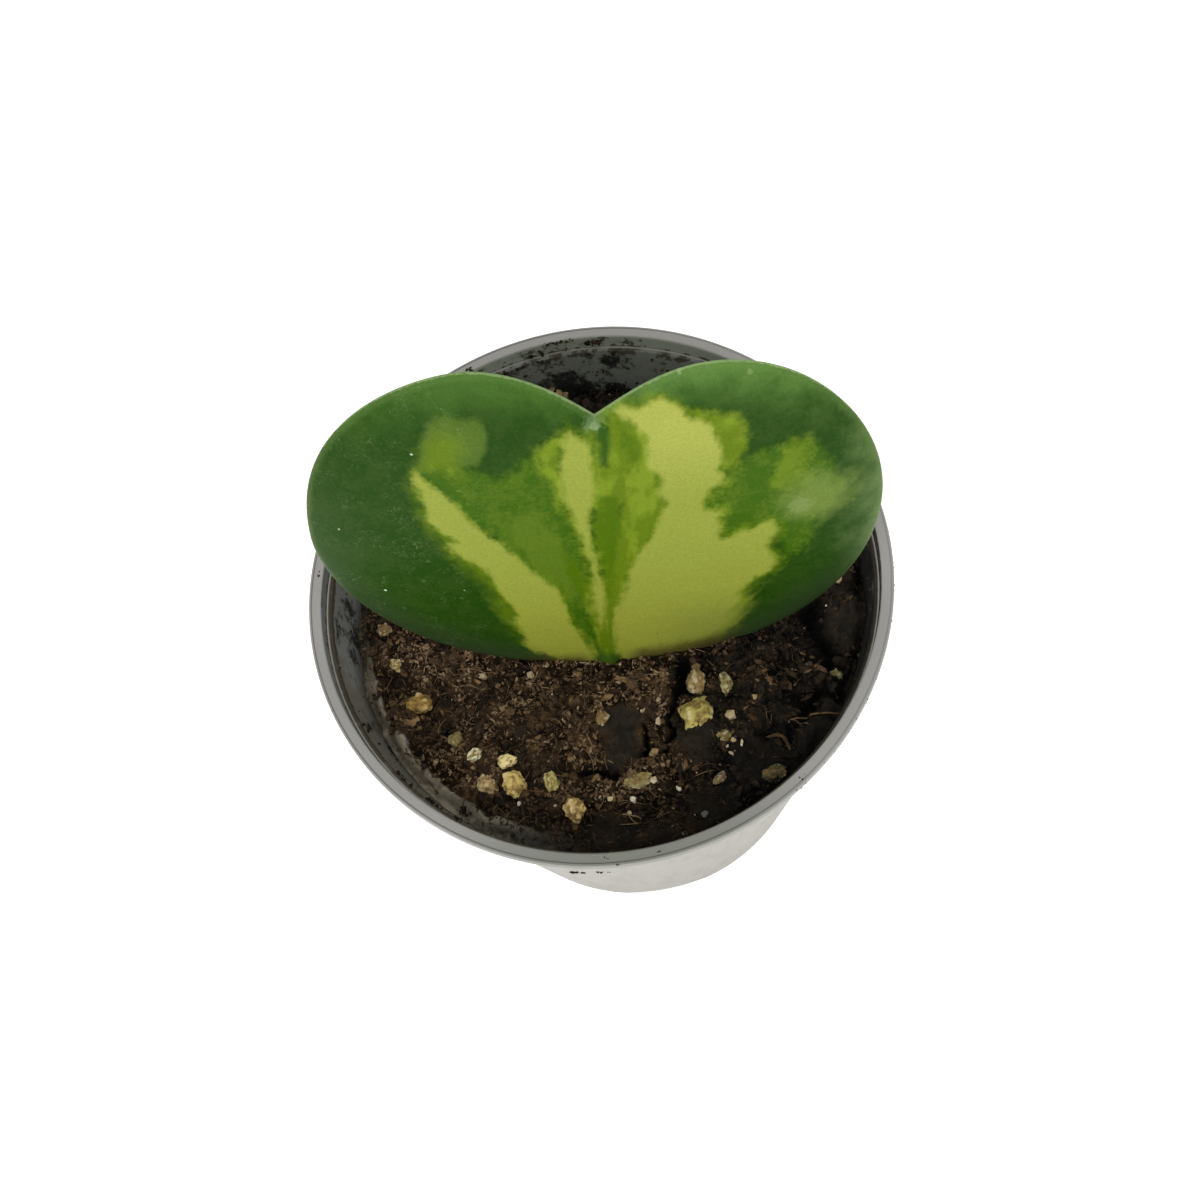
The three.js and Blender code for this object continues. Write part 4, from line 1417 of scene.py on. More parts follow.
# Loose bits that lie in known places: x, y, half length, half width, tone from dull to white.
bits = [
    (-13.4, -18.9, 0.28, 0.22, 1.0), (-14.0, -4.2, 0.6, 0.38, 0.75), (-9.2, -6.0, 0.42, 0.4, 0.7),
    (-2.3, -21.2, 0.5, 0.35, 0.95), (-4.4, -20.8, 0.4, 0.34, 0.8), (7.5, -9.2, 0.6, 0.5, 0.35),
    (9.5, -15.6, 0.65, 0.55, 0.65), (2.3, -13.9, 0.5, 0.36, 0.75), (0.9, -17.1, 0.7, 0.42, 0.4),
    (2.5, -21.1, 0.3, 0.26, 0.9), (4.3, -24.6, 0.42, 0.4, 0.1), (12.5, -14.5, 0.45, 0.4, 0.5),
    (18.3, -12.5, 0.8, 0.36, 0.12), (0.2, -20.0, 0.5, 0.4, 0.85), (-3.0, -22.4, 0.34, 0.3, 0.8),
    (9.1, -18.2, 0.3, 0.25, 0.65), (8.5, -19.4, 0.3, 0.2, 0.6), (9.8, -18.6, 0.42, 0.16, 0.8),
]
# Bits that lean against the back wall, the same way but with their height after x and y.
wallBits = [
    (0.6, 26.7, 39.6, 0.6, 0.5, 0.34), (1.3, 26.1, 39.5, 0.5, 0.4, 0.4), (1.9, 25.6, 39.4, 0.5, 0.4, 0.34),
]


def makeBits():
    draw = np.random.default_rng(9)
    table, leaning = np.array(bits), np.array(wallBits)
    x, y = table[:, 0], table[:, 1]
    places = np.concatenate([np.stack([x, y, soilTop(x, y) + 0.35 * table[:, 3]], axis=1), leaning[:, :3]])
    length, width, tones = np.concatenate([table[:, 2:], leaning[:, 3:]]).T
    sizes = np.stack([length, width, 0.8 * width], axis=1)
    return scatterForms("perlite_bits", draw, places, sizes, tones, 25)


finishPiece(makeBits(), speckMaterial, "perlite")

# Straws that lie in known places: both ends, the bow between them, the radius and a tone from dark to light.
straws = [
    ((14.9, -17.9), (20.2, -18.4), 0.25, 0.1, 0.62),
    ((15.3, -17.9), (16.8, -19.0), 0.1, 0.08, 0.55),
    ((12.4, -18.6), (14.3, -20.9), 0.8, 0.22, 0.35),
    ((-16.5, -3.0), (-12.4, -4.6), 0.3, 0.1, 0.6),
    ((-19.8, -9.5), (-17.6, -12.0), 0.25, 0.09, 0.6),
    ((13.2, -6.4), (18.0, -4.4), 0.5, 0.08, 0.6),
    ((-3.9, -22.6), (-1.9, -23.3), 0.15, 0.05, 0.95),
    ((-3.2, -22.3), (-2.4, -23.9), -0.15, 0.05, 0.85),
]


# Each straw is a line from end to end with a sine bow to one side, laid on the soil.
def makeStraws():
    part = np.linspace(0, 1, 12)
    starts = np.array([straw[0] for straw in straws])
    ends = np.array([straw[1] for straw in straws])
    bows, radii, tones = np.array([straw[2:] for straw in straws]).T
    line = starts[:, None] + (ends - starts)[:, None] * part[None, :, None]
    side = np.stack([-(ends - starts)[:, 1], (ends - starts)[:, 0]], axis=1)
    side = side / np.linalg.norm(side, axis=1)[:, None]
    line = line + side[:, None] * (bows[:, None] * np.sin(math.pi * part))[..., None]
    x, y = line[..., 0], line[..., 1]
    height = soilShape(x, y) + 0.75 * soilGrit(x, y) + 0.3
    return tubesAlong("straws", np.stack([x, y, height], axis=-1), radii, tones, 6)


finishPiece(makeStraws(), fibreMaterial, "potting_soil")

# Leaf.

leaf = {
    "foot": (-1.1, -6.2),  # where the blade's foot stands on the soil's level
    "turn": -10.2,
    "lean": 14.0,
    "tilt": 3.9,
    "thickness": 2.7,
    "thinning": 0.12,
    "marginPower": 9,
    "middle": (0.0, 20.0),
    "halfSpan": 27.0,
    "halfHeight": 24.0,
    "crossBend": 2.2,
    "lengthBend": 1.4,
    "frontRows": 96,
    "backRows": 38,
    "curveSteps": 100,
    "ringPower": 1.5,  # how much closer the rows lie towards the margin
    "calmPower": 8,  # the surface is calm only at the margin
    "dimple": (0.5, 36.0, 1.3, 2.4, 0.4),  # below the notch: place, width, length and depth
    "rib": (0.7, 0.07),  # width and depth
    "ribEnds": (0, 6, 26, 36),  # the rib deepens and runs out between these heights
    "swell": (7.0, 0.06),  # size and height
    "pebble": (0.9, 0.012),
    "veinFoot": -8.0,  # the streaks of colour fan out from this point below the blade
    "veinFan": 26,
    "veinStretch": 0.22,
    "offMargin": 5.0,  # how far from the margin the petiole counts as being
}
notch = (0.5, 37.0)
bladeFoot = (0.0, -1.0)
# Each lobe: its crown and side, and the reach of the curves' handles at the notch, crown, side and foot.
lobes = [
    {"crown": (-10.6, 42.6), "side": (-27.9, 20.3), "notchHandle": (-2.2, 2.0), "crownIn": 5.0,
     "crownOut": 3.4, "sideUp": 18.2, "sideDown": 7.3, "footHandle": (-21.2, 0.0)},
    {"crown": (11.5, 42.1), "side": (27.5, 21.9), "notchHandle": (2.5, 1.7), "crownIn": 5.0,
     "crownOut": 8.8, "sideUp": 10.4, "sideDown": 9.6, "footHandle": (21.6, 0.0)},
]
petiole = {"top": (7.0, -0.5), "bottom": (-16.0, -2.6), "sides": 32, "rows": 48}
petioleRadii = [(0, 0.6), (0.35, 1.2), (1.5, 1.95), (2.7, 1.9), (5, 1.7), (14, 1.6), (22.7, 0.7)]


# A cubic curve from start to end with a handle at each, walked in even steps and without its end.
def cubic(start, leave, arrive, end):
    part = np.linspace(0, 1, leaf["curveSteps"], endpoint=False)[:, None]
    first = np.array(start) + leave
    second = np.array(end) + arrive
    line = (1 - part) ** 3 * np.array(start) + 3 * (1 - part) ** 2 * part * first
    return line + 3 * (1 - part) * part**2 * second + part**3 * np.array(end)


# The blade's outline: down the left lobe from the notch to the foot, and up the right one.
def bladeOutline():
    halves = []
    for lobe in lobes:
        away = math.copysign(1, lobe["side"][0])
        stretches = [
            (notch, lobe["notchHandle"], (-away * lobe["crownIn"], 0), lobe["crown"]),
            (lobe["crown"], (away * lobe["crownOut"], 0), (0, lobe["sideUp"]), lobe["side"]),
            (lobe["side"], (0, -lobe["sideDown"]), lobe["footHandle"], bladeFoot),
        ]
        halves.append(np.concatenate([cubic(*stretch) for stretch in stretches]))
    left, right = halves
    return np.concatenate([left, [bladeFoot], right[:0:-1]])


# Turns points across, up and out of the leaf (u, v, w) into the plant's own frame.
def placeOnLeaf(points):
    tilt, lean, turn = (math.radians(value) for value in (-leaf["tilt"], 90 - leaf["lean"], leaf["turn"]))
    matrix = Matrix.Rotation(turn, 3, "Z") @ Matrix.Rotation(lean, 3, "X") @ Matrix.Rotation(tilt, 3, "Z")
    return points @ np.array(matrix).T + np.array([*leaf["foot"], soilLevel])


# How far inside an outline each point lies, below 0 outside: the least distance to a side, signed by
# counting the sides that a line from the point crosses.
def insideOutline(u, v, outline):
    corners = np.array(outline, dtype=float)
    inside = np.zeros(u.shape, dtype=bool)
    nearest = np.full(u.shape, 1e9)
    for (startU, startV), (endU, endV) in zip(corners, np.roll(corners, -1, axis=0)):
        alongU, alongV = endU - startU, endV - startV
        part = np.clip(((u - startU) * alongU + (v - startV) * alongV) / (alongU**2 + alongV**2), 0, 1)
        nearest = np.minimum(nearest, np.hypot(u - startU - part * alongU, v - startV - part * alongV))
        crosses = (startV > v) != (endV > v)
        slope = alongU / alongV if alongV else 0.0
        inside ^= crosses & (u < startU + (v - startV) * slope)
    return np.where(inside, nearest, -nearest)


# Patches of colour on the blade, as outlines across and up it, by tone.
patches = {
    "haze": [
        [(-16.8, 31.6), (-15.6, 33), (-15.6, 35), (-14.8, 36.5), (-14, 38.3), (-12.8, 39), (-11.6, 38.2),
         (-10, 38), (-9.4, 36.5), (-9.6, 34), (-10.6, 32.5), (-12.3, 31.9), (-13.5, 31.5), (-14.8, 31.6)],
    ],
    "midPale": [
        [(-8.2, 25.5), (-5.5, 25.8), (-3.6, 22), (-2.4, 18), (-1.8, 13), (-3.4, 12.5), (-6.2, 17),
         (-8.6, 21.5)],
    ],
    "veil": [
        [(17.5, 25.5), (19.5, 27.5), (22, 27.8), (24.2, 26.4), (24.4, 23), (22.4, 21.2), (20, 21.3),
         (18, 22.5)],
    ],
    "mid": [
        [(10, 26), (12.5, 29.5), (14, 31), (15.5, 32), (18, 32.3), (20, 32), (21, 31), (22.5, 29), (23, 26),
         (22.5, 23.5), (21.5, 22), (20.5, 19), (19.5, 16.5), (18, 15.8), (17.4, 18), (17.2, 20),
         (16.8, 21.9), (14, 20.8), (12.7, 20.1), (11.8, 21), (11.7, 24.2), (10.2, 24.8)],
        [(-15.8, 31.9), (-14.6, 32.5), (-12.7, 32.5), (-11, 32.2), (-9, 31), (-7.5, 31.5), (-6.5, 33),
         (-5, 33.6), (-3.2, 32), (-2.9, 28), (-2.2, 25.5), (-1.5, 21), (-1.2, 18), (-1.2, 14), (-1.4, 10),
         (-1, 6), (-0.8, 3), (-2, 4), (-3, 7), (-4, 11.5), (-4.5, 14), (-6.5, 16.5), (-9.2, 21), (-12, 25),
         (-14, 28.3), (-15.6, 30.4)],
        [(0.8, 8), (1.7, 11.5), (2.7, 16), (4.5, 20), (6.3, 25), (3, 26), (0.5, 20), (-0.2, 12)],
    ],
    "lime": [
        [(2, 37.5), (3.4, 37), (5.2, 35.3), (5.3, 31), (6.3, 29.5), (6, 27.5), (6.7, 26.3), (6, 23.5),
         (4.5, 20), (2.7, 16), (1.7, 11.5), (0.9, 8), (0.5, 12), (0.4, 15), (1.3, 18), (1.8, 21), (2.2, 24),
         (2.2, 27.3), (0.8, 27.8), (0, 27), (0, 33), (0.6, 31.8), (1.3, 31.8), (1.6, 34), (1.5, 36.5)],
        [(-15.9, 31.5), (-15.2, 35.6), (-13.4, 36.2), (-12, 35), (-12.2, 32.6), (-13.5, 31.5)],
        [(-5.1, 33.8), (-4.3, 34.8), (-3.3, 35.1), (-2.9, 34.2), (-3.1, 32), (-3.1, 30), (-3.8, 31),
         (-4.6, 32)],
        [(18.3, 32.3), (19.9, 32.5), (20.1, 30.5), (19.5, 28.5), (20.3, 27), (19.6, 26),
         (17.9, 26.5), (16.6, 27.4), (17.4, 29.5), (18, 31)],
        [(9, 37.8), (10.5, 37.2), (12, 36.8), (13, 36.3), (13.9, 35), (13.7, 33.5), (14, 32.5), (13.3, 31),
         (12.8, 29.8), (12, 30.5), (12, 31.7), (11.7, 33.7), (11, 35), (10.6, 36)],
        [(-16.9, 29), (-16.4, 24), (-15, 21.5), (-14, 18.8), (-11.6, 15), (-10.6, 11), (-9.5, 8),
         (-8.5, 5.6), (-7.3, 4.2), (-6, 3.4), (-7, 9), (-9, 15), (-13, 22), (-15.6, 29)],
        [(-1.2, 16), (-1.2, 11.7), (-0.6, 2), (0.3, 0.6), (1.2, 2), (1.4, 8), (0.8, 11), (0.3, 15)],
    ],
    "wedge": [
        [(-0.1, 36.4), (0.2, 32.4), (0.7, 31.7), (1.4, 31.9), (1.8, 34), (1.9, 36.4)],
    ],
    "deep": [
        [(0, 27.8), (1.9, 27.8), (2.3, 26), (2.2, 23.5), (1.7, 21), (1.4, 18), (1, 15), (0.7, 12.5),
         (0.3, 12.5), (0.1, 18), (-0.5, 21), (-0.5, 25)],
        [(-3.4, 20), (-2.4, 19), (-1.5, 14), (-1.3, 11), (-2.2, 13), (-3.3, 17)],
        [(2.5, 37), (3.6, 36), (4.4, 34), (4.4, 32.4), (3.4, 32.2), (2.6, 34)],
    ],
    "pale": [
        [(-16.5, 31.5), (-16.7, 30), (-16.2, 29), (-15.8, 27.7), (-15.8, 25), (-15, 23.7), (-13.3, 22),
         (-14.3, 21.7), (-14, 20.2), (-12.7, 19.2), (-11, 17.7), (-10.2, 15.7), (-10, 14), (-9.3, 12.3),
         (-8.6, 10), (-8.8, 8.7), (-8.4, 7), (-8.2, 5), (-7.4, 3.2), (-6, 1.8), (-4, 0.6), (-1.3, 0), (-1, 1),
         (-2, 3.7), (-2.7, 6), (-3.5, 8.3), (-4, 11.3), (-4.2, 14), (-6, 16.3), (-7.3, 18.3), (-9, 21.3),
         (-10.7, 23.3), (-12, 25), (-12.7, 26.7), (-13.5, 28), (-14.7, 29.5), (-15.7, 30.7)],
        [(-1.7, 36.3), (-2.5, 35.3), (-2.7, 33.7), (-3.1, 32.7), (-3.1, 30.7), (-2.8, 27.7), (-2.2, 25.7),
         (-1.8, 23.7), (-1.3, 21), (-1, 18.3), (-0.7, 15.7), (-0.9, 11.7), (-0.6, 8), (-0.2, 7), (0.1, 9.7),
         (0.2, 12.3), (0.2, 15), (-0.4, 18), (-0.7, 20.3), (-0.7, 23.3), (-0.5, 25.7), (-0.1, 28.3),
         (-0.1, 31.7), (-0.1, 34), (-0.7, 35)],
        [(1.3, -0.6), (0.8, 2), (1, 5), (0.8, 8.3), (1.7, 11.7), (2.2, 14), (2.7, 16.3), (3.7, 18.3),
         (4.5, 20.3), (5.2, 22), (6, 23.7), (6.2, 25.3), (6.7, 26.3), (6, 27.7), (6.3, 29.3), (6, 30.3),
         (5.3, 31.3), (5.3, 34.3), (5.2, 35.3), (4.3, 36.2), (3.5, 37), (2.5, 38), (3, 38.5), (4.7, 38.3),
         (5.7, 39), (7, 39.3), (8, 38.3), (8.7, 37.3), (9.5, 36.7), (10.8, 36), (11.2, 34.7), (11.7, 33.7),
         (12, 31.7), (11.5, 30.3), (12.2, 29.3), (12, 28.3), (10.8, 27.3), (10, 26), (10.2, 24.8),
         (11.8, 24.3), (11.5, 23.2), (11.8, 22), (11.5, 21), (11.8, 20.2), (12.7, 20.1), (14, 20.8),
         (15.3, 21.5), (16.7, 22), (17.2, 20.7), (16.7, 19.3), (16.2, 18.3), (17, 16.3), (17.3, 15.3),
         (16.5, 14.3), (15.3, 13.5), (14.3, 12.3), (13.8, 11), (14, 9.7), (13.2, 7.7), (12.4, 5.7),
         (11, 3.8), (9, 2.4), (7, 1.2), (4, 0)],
    ],
}


# The blade: every point lies a share of the way from the middle to the outline, and off the middle sheet by
# half the thickness there. The sheet bends back with the square of the distance across and along, and the
# half thickness falls as the root of 1 less a high power of the share, so that the margin is round. A dimple
# and a rib are pressed into it as bells of the distance from them, and noise swells it.
def bladePoints():
    middle = np.array(leaf["middle"])
    frontRow = np.arange(1, leaf["frontRows"] + 1) / leaf["frontRows"]
    backRow = np.arange(leaf["backRows"] - 1, 0, -1) / leaf["backRows"]
    frontShare, backShare = (1 - (1 - row) ** leaf["ringPower"] for row in (frontRow, backRow))
    share = np.concatenate([frontShare, backShare])
    face = np.concatenate([np.ones(leaf["frontRows"]), -np.ones(leaf["backRows"] - 1)])
    plan = middle + share[:, None, None] * (bladeOutline() - middle)
    plan = np.concatenate([plan.reshape(-1, 2), [middle, middle]])
    columns = 6 * leaf["curveSteps"]
    share = np.append(np.repeat(share, columns), [0, 0])
    face = np.append(np.repeat(face, columns), [1, -1])
    u, v = plan.T
    bend = -leaf["crossBend"] * (u / leaf["halfSpan"]) ** 2
    bend = bend - leaf["lengthBend"] * ((v - middle[1]) / leaf["halfHeight"]) ** 2
    half = leaf["thickness"] / 2 * (1 - leaf["thinning"] * share**2)
    half = half * np.sqrt(np.clip(1 - share ** leaf["marginPower"], 0, 1))
    centreU, centreV, width, length, depth = leaf["dimple"]
    dimple = depth * np.exp(-(((u - centreU) / width) ** 2) - ((v - centreV) / length) ** 2)
    width, depth = leaf["rib"]
    ribFrom, ribFull, ribLess, ribTo = leaf["ribEnds"]
    rib = depth * np.exp(-((u / width) ** 2)) * eased(v, ribFrom, ribFull) * (1 - eased(v, ribLess, ribTo))
    swellSize, swellHeight = leaf["swell"]
    pebbleSize, pebbleHeight = leaf["pebble"]
    swell = swellHeight * fractalNoise(u, v, face, swellSize, 2, 61)
    swell = swell + pebbleHeight * softNoise(u / pebbleSize, v / pebbleSize, face, 64)
    w = bend + face * (half - (dimple + rib - swell) * (1 - share ** leaf["calmPower"]))
    return u, v, w, share, face


# The petiole: its radius changes with the height above its rounded lower end, and its axis is straight.
def petiolePoints():
    (topV, topW), (bottomV, bottomW) = petiole["top"], petiole["bottom"]
    length = math.hypot(topV - bottomV, topW - bottomW)
    heights, radii = np.array(petioleRadii).T
    height = np.linspace(0, 1, petiole["rows"]) ** 1.4 * length
    radius = np.interp(height, heights, radii)
    radius = radius * (1 + 0.04 * softNoise(height, 0 * height, 0 * height, 71))
    turn = np.arange(petiole["sides"]) * 2 * math.pi / petiole["sides"]
    alongV, alongW = (topV - bottomV) / length, (topW - bottomW) / length
    u = radius[:, None] * np.cos(turn)
    aside = radius[:, None] * np.sin(turn)
    v = bottomV + height[:, None] * alongV - aside * alongW
    w = bottomW + height[:, None] * alongW + aside * alongV
    ends = np.array([[0, bottomV - 0.3 * alongV, bottomW - 0.3 * alongW], [0, topV, topW]])
    return np.concatenate([np.stack([u, v, w], axis=-1).reshape(-1, 3), ends])


def makeLeaf():
    u, v, w, share, face = bladePoints()
    blade = np.stack([u, v, w], axis=1)
    quads, triangles = skinFaces(leaf["frontRows"] + leaf["backRows"] - 1, 6 * leaf["curveSteps"])
    stem = petiolePoints()
    stemQuads, stemTriangles = skinFaces(petiole["rows"], petiole["sides"])
    if signedVolume(stem, stemQuads) * signedVolume(blade, quads) < 0:
        stemQuads, stemTriangles = stemQuads[:, ::-1], stemTriangles[:, ::-1]
    points = placeOnLeaf(np.concatenate([blade, stem]))
    quads = np.concatenate([quads, stemQuads + len(blade)])
    triangles = np.concatenate([triangles, stemTriangles + len(blade)])
    piece = makePiece("leaf_blade", points, quads, triangles)
    stemU, stemV = stem[:, 0], stem[:, 1]
    u, v = np.append(u, stemU), np.append(v, stemV)
    for tone, outlines in patches.items():
        depth = np.max([insideOutline(u, v, outline) for outline in outlines], axis=0)
        giveAttribute(piece, tone, depth)
    reach = np.hypot(u[: len(blade)] - leaf["middle"][0], v[: len(blade)] - leaf["middle"][1])
    margin = (1 - share) * reach / np.maximum(share, 0.02)
    giveAttribute(piece, "margin", np.append(margin, np.full(len(stem), leaf["offMargin"])))
    giveAttribute(piece, "front", np.append((face + 1) / 2, np.ones(len(stem))))
    giveAttribute(piece, "bladePlace", np.stack([u, v, np.zeros_like(u)], axis=1))
    fan = leaf["veinFan"] * np.arctan2(u, v - leaf["veinFoot"])
    outwards = leaf["veinStretch"] * np.hypot(u, v - leaf["veinFoot"])
    giveAttribute(piece, "veinPlace", np.stack([fan, outwards, 0 * u], axis=1))
    return piece


leafColours = {
    "margin": tint(41, 68, 16),
    "inner": tint(30, 62, 6),
    # Painted light on the leaf's top band, more towards the right.
    "crown": tint(64, 97, 34),
    "crownLitRight": tint(86, 120, 54),
    # Painted sheen along the leaf's sides, lighter on the right.
    "sideSheen": tint(46, 70, 24),
    "sideSheenRight": tint(94, 116, 64),
    # Painted shade on the lower margin, which curves away.
    "lowShade": tint(48, 62, 38),
    "haze": tint(72, 96, 30),
    "veil": tint(106, 126, 56),
    "mid": tint(54, 87, 7),
    "midLight": tint(72, 98, 18),
    "midPale": tint(82, 106, 24),
    "lime": tint(109, 130, 30),
    "limeDeep": tint(88, 110, 14),
    "deep": tint(70, 98, 3),
    "wedge": tint(44, 76, 12),
    "pale": tint(134, 144, 58),
    # Painted light on the pale patch at the top right.
    "paleLitHigh": tint(152, 158, 72),
    "paleLow": tint(139, 145, 52),
    "stem": tint(52, 80, 20),
    "scurf": tint(110, 134, 88),
    # rim: a painted highlight along the upper margin. The next tone is frost on the notch and in scratches,
    # and a painted highlight at the very top edge.
    "rim": tint(96, 124, 64),
    "frostAndHighlight": tint(150, 170, 120),
    "dull": tint(110, 118, 58),
    "stain": tint(74, 62, 30),
    "bloom": tint(124, 142, 82),
    "speck": tint(190, 206, 170),
    "scar": tint(120, 116, 62),
    "back": tint(104, 132, 72),
}
# Small marks on the blade: across, up, radius, share and colour.
leafMarks = [
    (-16.4, 33.9, 0.17, 0.75, "speck"), (-24.7, 22.9, 0.17, 0.6, "speck"), (-21.4, 13.7, 0.2, 0.9, "speck"),
    (0.35, 36.5, 1.2, 0.55, "scurf"), (0.4, 36.2, 0.6, 0.3, "frostAndHighlight"), (8.2, 41.9, 0.6, 0.45, "frostAndHighlight"),
    (19.4, 23.5, 1.5, 0.45, "bloom"), (-17.4, 15.7, 0.3, 0.22, "scurf"), (-19.9, 10.8, 0.26, 0.22, "scurf"),
    (-13.5, 14.3, 0.15, 0.4, "speck"), (-18.6, 24.6, 0.24, 0.16, "scurf"), (-16.6, 18.9, 0.3, 0.2, "scurf"),
    (14.6, 41.0, 0.3, 0.2, "frostAndHighlight"),
    (-0.2, 28.0, 0.2, 0.8, "scar"), (5.2, 5.2, 0.2, 0.6, "scar"), (8.8, 5.6, 0.16, 0.6, "scar"),
    (4.0, 3.2, 0.2, 0.5, "scar"),
]


# Fine noises on the leaf: their sizes and depth in millimetres, their weights and shares.
leafFinish = {
    "veinScale": 0.8,
    "fraySize": 1.1,
    "fineSize": 0.4,
    "blotchSize": 3.2,
    "mottleSize": 1.1,
    "edgeWeights": (1.7, 1.5, 0.5),  # of the veins' streaks, the fraying and the fine noise
    "scratchSize": 2.6,
    "scratchTwist": 3.0,
    "scratchEdge": (0.008, 0.002),
    "scratchShare": 0.24,
    "gritSize": 0.24,
    "gritShade": 0.45,
    "backShare": 0.5,
    "waxSize": 2.0,
    "waxRoughness": 0.34,
    "waxUneven": 0.2,
    "reliefSize": 0.45,
    "reliefDepth": 0.035,
}


# Waxy leaf: patches of each tone laid over one another, with edges frayed along the veins, painted light on
# the top band, towards the right and on the pale patch's top right, a painted sheen along both sides, painted
# shade on the lower margin, a painted highlight along the upper rim that is brightest at its very edge, fine
# mottling, scratches and marks, soil along its foot, and a duller back.
def makeLeafMaterial():
    material, tree, shader = newMaterial("hoya_leaf", Roughness=0.42, Specular_IOR_Level=0.06)
    tones = leafColours
    form = leafFinish
    place = objectPlace(tree)
    blade = readAttribute(tree, "bladePlace", "Vector")
    vein = readAttribute(tree, "veinPlace", "Vector")
    inputs = {"Vector": vein, "Scale": form["veinScale"], "Detail": 2.0}
    streaks = minus(tree, addNode(tree, "ShaderNodeTexNoise", inputs).outputs[0], 0.5)
    fray = minus(tree, grain(tree, place, form["fraySize"], 3.0, 0.5), 0.5)
    fine = minus(tree, grain(tree, place, form["fineSize"], 2.0, 0.5), 0.5)
    blotch = minus(tree, grain(tree, place, form["blotchSize"], 4.0, 0.55), 0.5)
    mottle = minus(tree, grain(tree, place, form["mottleSize"], 4.0, 0.6), 0.5)
    streakWeight, frayWeight, fineWeight = form["edgeWeights"]
    edges = plus(tree, times(tree, streaks, streakWeight), times(tree, fray, frayWeight))
    edges = plus(tree, edges, times(tree, fine, fineWeight))

    # Share of a patch at a point: its depth in the patch, frayed, from outside to soft millimetres inside.
    def patchShare(tone, soft, fraying=1.0, grown=0.0):
        depth = plus(tree, readAttribute(tree, tone), times(tree, edges, fraying))
        return rise(tree, plus(tree, depth, grown), -soft, soft)

    # The first colour with a share of one of the leaf's tones over it.
    def lay(colour, share, tone, strength=1.0):
        return blendColours(tree, times(tree, share, strength), colour, tones[tone])

    split = addNode(tree, "ShaderNodeSeparateXYZ", {0: blade})
    across, up = split.outputs["X"], split.outputs["Y"]
    margin = readAttribute(tree, "margin")
    toRight = rise(tree, across, -4.0, 8.0)
    uneven = plus(tree, plus(tree, blotch, mottle), times(tree, streaks, 0.5))
    uneven = plus(tree, uneven, times(tree, fine, 0.7))
    colour = blendColours(tree, rise(tree, uneven, -0.2, 0.22), tones["inner"], tones["margin"])
    # Painted light on the top band near the edge, lighter towards the right.
    high = rise(tree, plus(tree, up, times(tree, blotch, 10.0)), 34.0, 43.0)
    crown = blendColours(tree, toRight, tones["crown"], tones["crownLitRight"])
    nearEdge = plus(tree, margin, times(tree, mottle, 3.0))
    nearEdge = plus(tree, times(tree, rise(tree, nearEdge, 6.0, 1.0), 0.82), 0.04)
    colour = blendColours(tree, times(tree, high, nearEdge), colour, crown)
    # Painted sheen along both sides of the blade.
    wide = plus(tree, sizeOf(tree, across), times(tree, blotch, 8.0))
    sideSheen = blendColours(tree, toRight, tones["sideSheen"], tones["sideSheenRight"])
    colour = blendColours(tree, times(tree, rise(tree, wide, 22.3, 28.5), 0.75), colour, sideSheen)
    # Painted shade on the lower margin.
    lower = plus(tree, margin, times(tree, mottle, 3.0))
    lower = times(tree, rise(tree, up, 19.0, 9.0), rise(tree, lower, 6.5, 0.5))
    colour = lay(colour, lower, "lowShade", 0.7)
    colour = lay(colour, patchShare("haze", 0.5, 0.6), "haze")
    core = times(tree, patchShare("haze", 1.7, 1.0, -2.0), rise(tree, across, -9.0, -11.0))
    colour = lay(colour, core, "lime", 0.5)
    mid = blendColours(tree, rise(tree, uneven, -0.15, 0.25), tones["mid"], tones["midLight"])
    colour = blendColours(tree, patchShare("mid", 0.8), colour, mid)
    colour = lay(colour, patchShare("midPale", 1.2, 1.5), "midPale", 0.85)
    toLeft = rise(tree, across, -3.5, -7.0)
    lowDown = times(tree, rise(tree, up, 27.0, 17.0), 0.12)
    lime = minus(tree, plus(tree, streaks, blotch), times(tree, toLeft, 0.16))
    lime = rise(tree, minus(tree, lime, lowDown), -0.12, 0.12)
    lime = blendColours(tree, lime, tones["limeDeep"], tones["lime"])
    weaker = minus(tree, 1.0, times(tree, rise(tree, across, 14.0, 17.0), 0.45))
    strong = patchShare("lime", 0.7, 1.0, times(tree, minus(tree, 1.0, toLeft), 0.3))
    gentle = times(tree, patchShare("lime", 1.5, 1.2, -0.3), 0.85)
    limed = addNode(tree, "ShaderNodeMix", {0: toLeft, 2: strong, 3: gentle}).outputs[0]
    colour = blendColours(tree, times(tree, limed, weaker), colour, lime)
    colour = lay(colour, patchShare("deep", 0.4), "deep")
    colour = lay(colour, patchShare("wedge", 0.4), "wedge")
    pale = blendColours(tree, rise(tree, up, 4.0, 20.0), tones["paleLow"], tones["pale"])
    # Painted light: the pale patch is lighter at its top right.
    palest = times(tree, rise(tree, up, 26.0, 36.0), toRight)
    pale = blendColours(tree, palest, pale, tones["paleLitHigh"])
    lowRight = times(tree, rise(tree, up, 13.0, 6.0), rise(tree, across, 3.0, 10.0))
    pale = blendColours(tree, times(tree, lowRight, 0.35), pale, tones["dull"])
    halo = minus(tree, 0.5, times(tree, toLeft, 0.45))
    colour = blendColours(tree, patchShare("pale", 0.9, 1.0, halo), colour, lime)
    blurred = times(tree, patchShare("pale", 1.6, 0.6, 0.5), lowRight)
    colour = blendColours(tree, blurred, colour, pale)
    crisp = minus(tree, times(tree, edges, 0.7), times(tree, lowRight, 1.2))
    crisp = plus(tree, readAttribute(tree, "pale"), crisp)
    colour = blendColours(tree, rise(tree, crisp, -0.5, 0.5), colour, pale)
    colour = lay(colour, patchShare("veil", 1.8, 1.3, -0.1), "veil", 0.75)

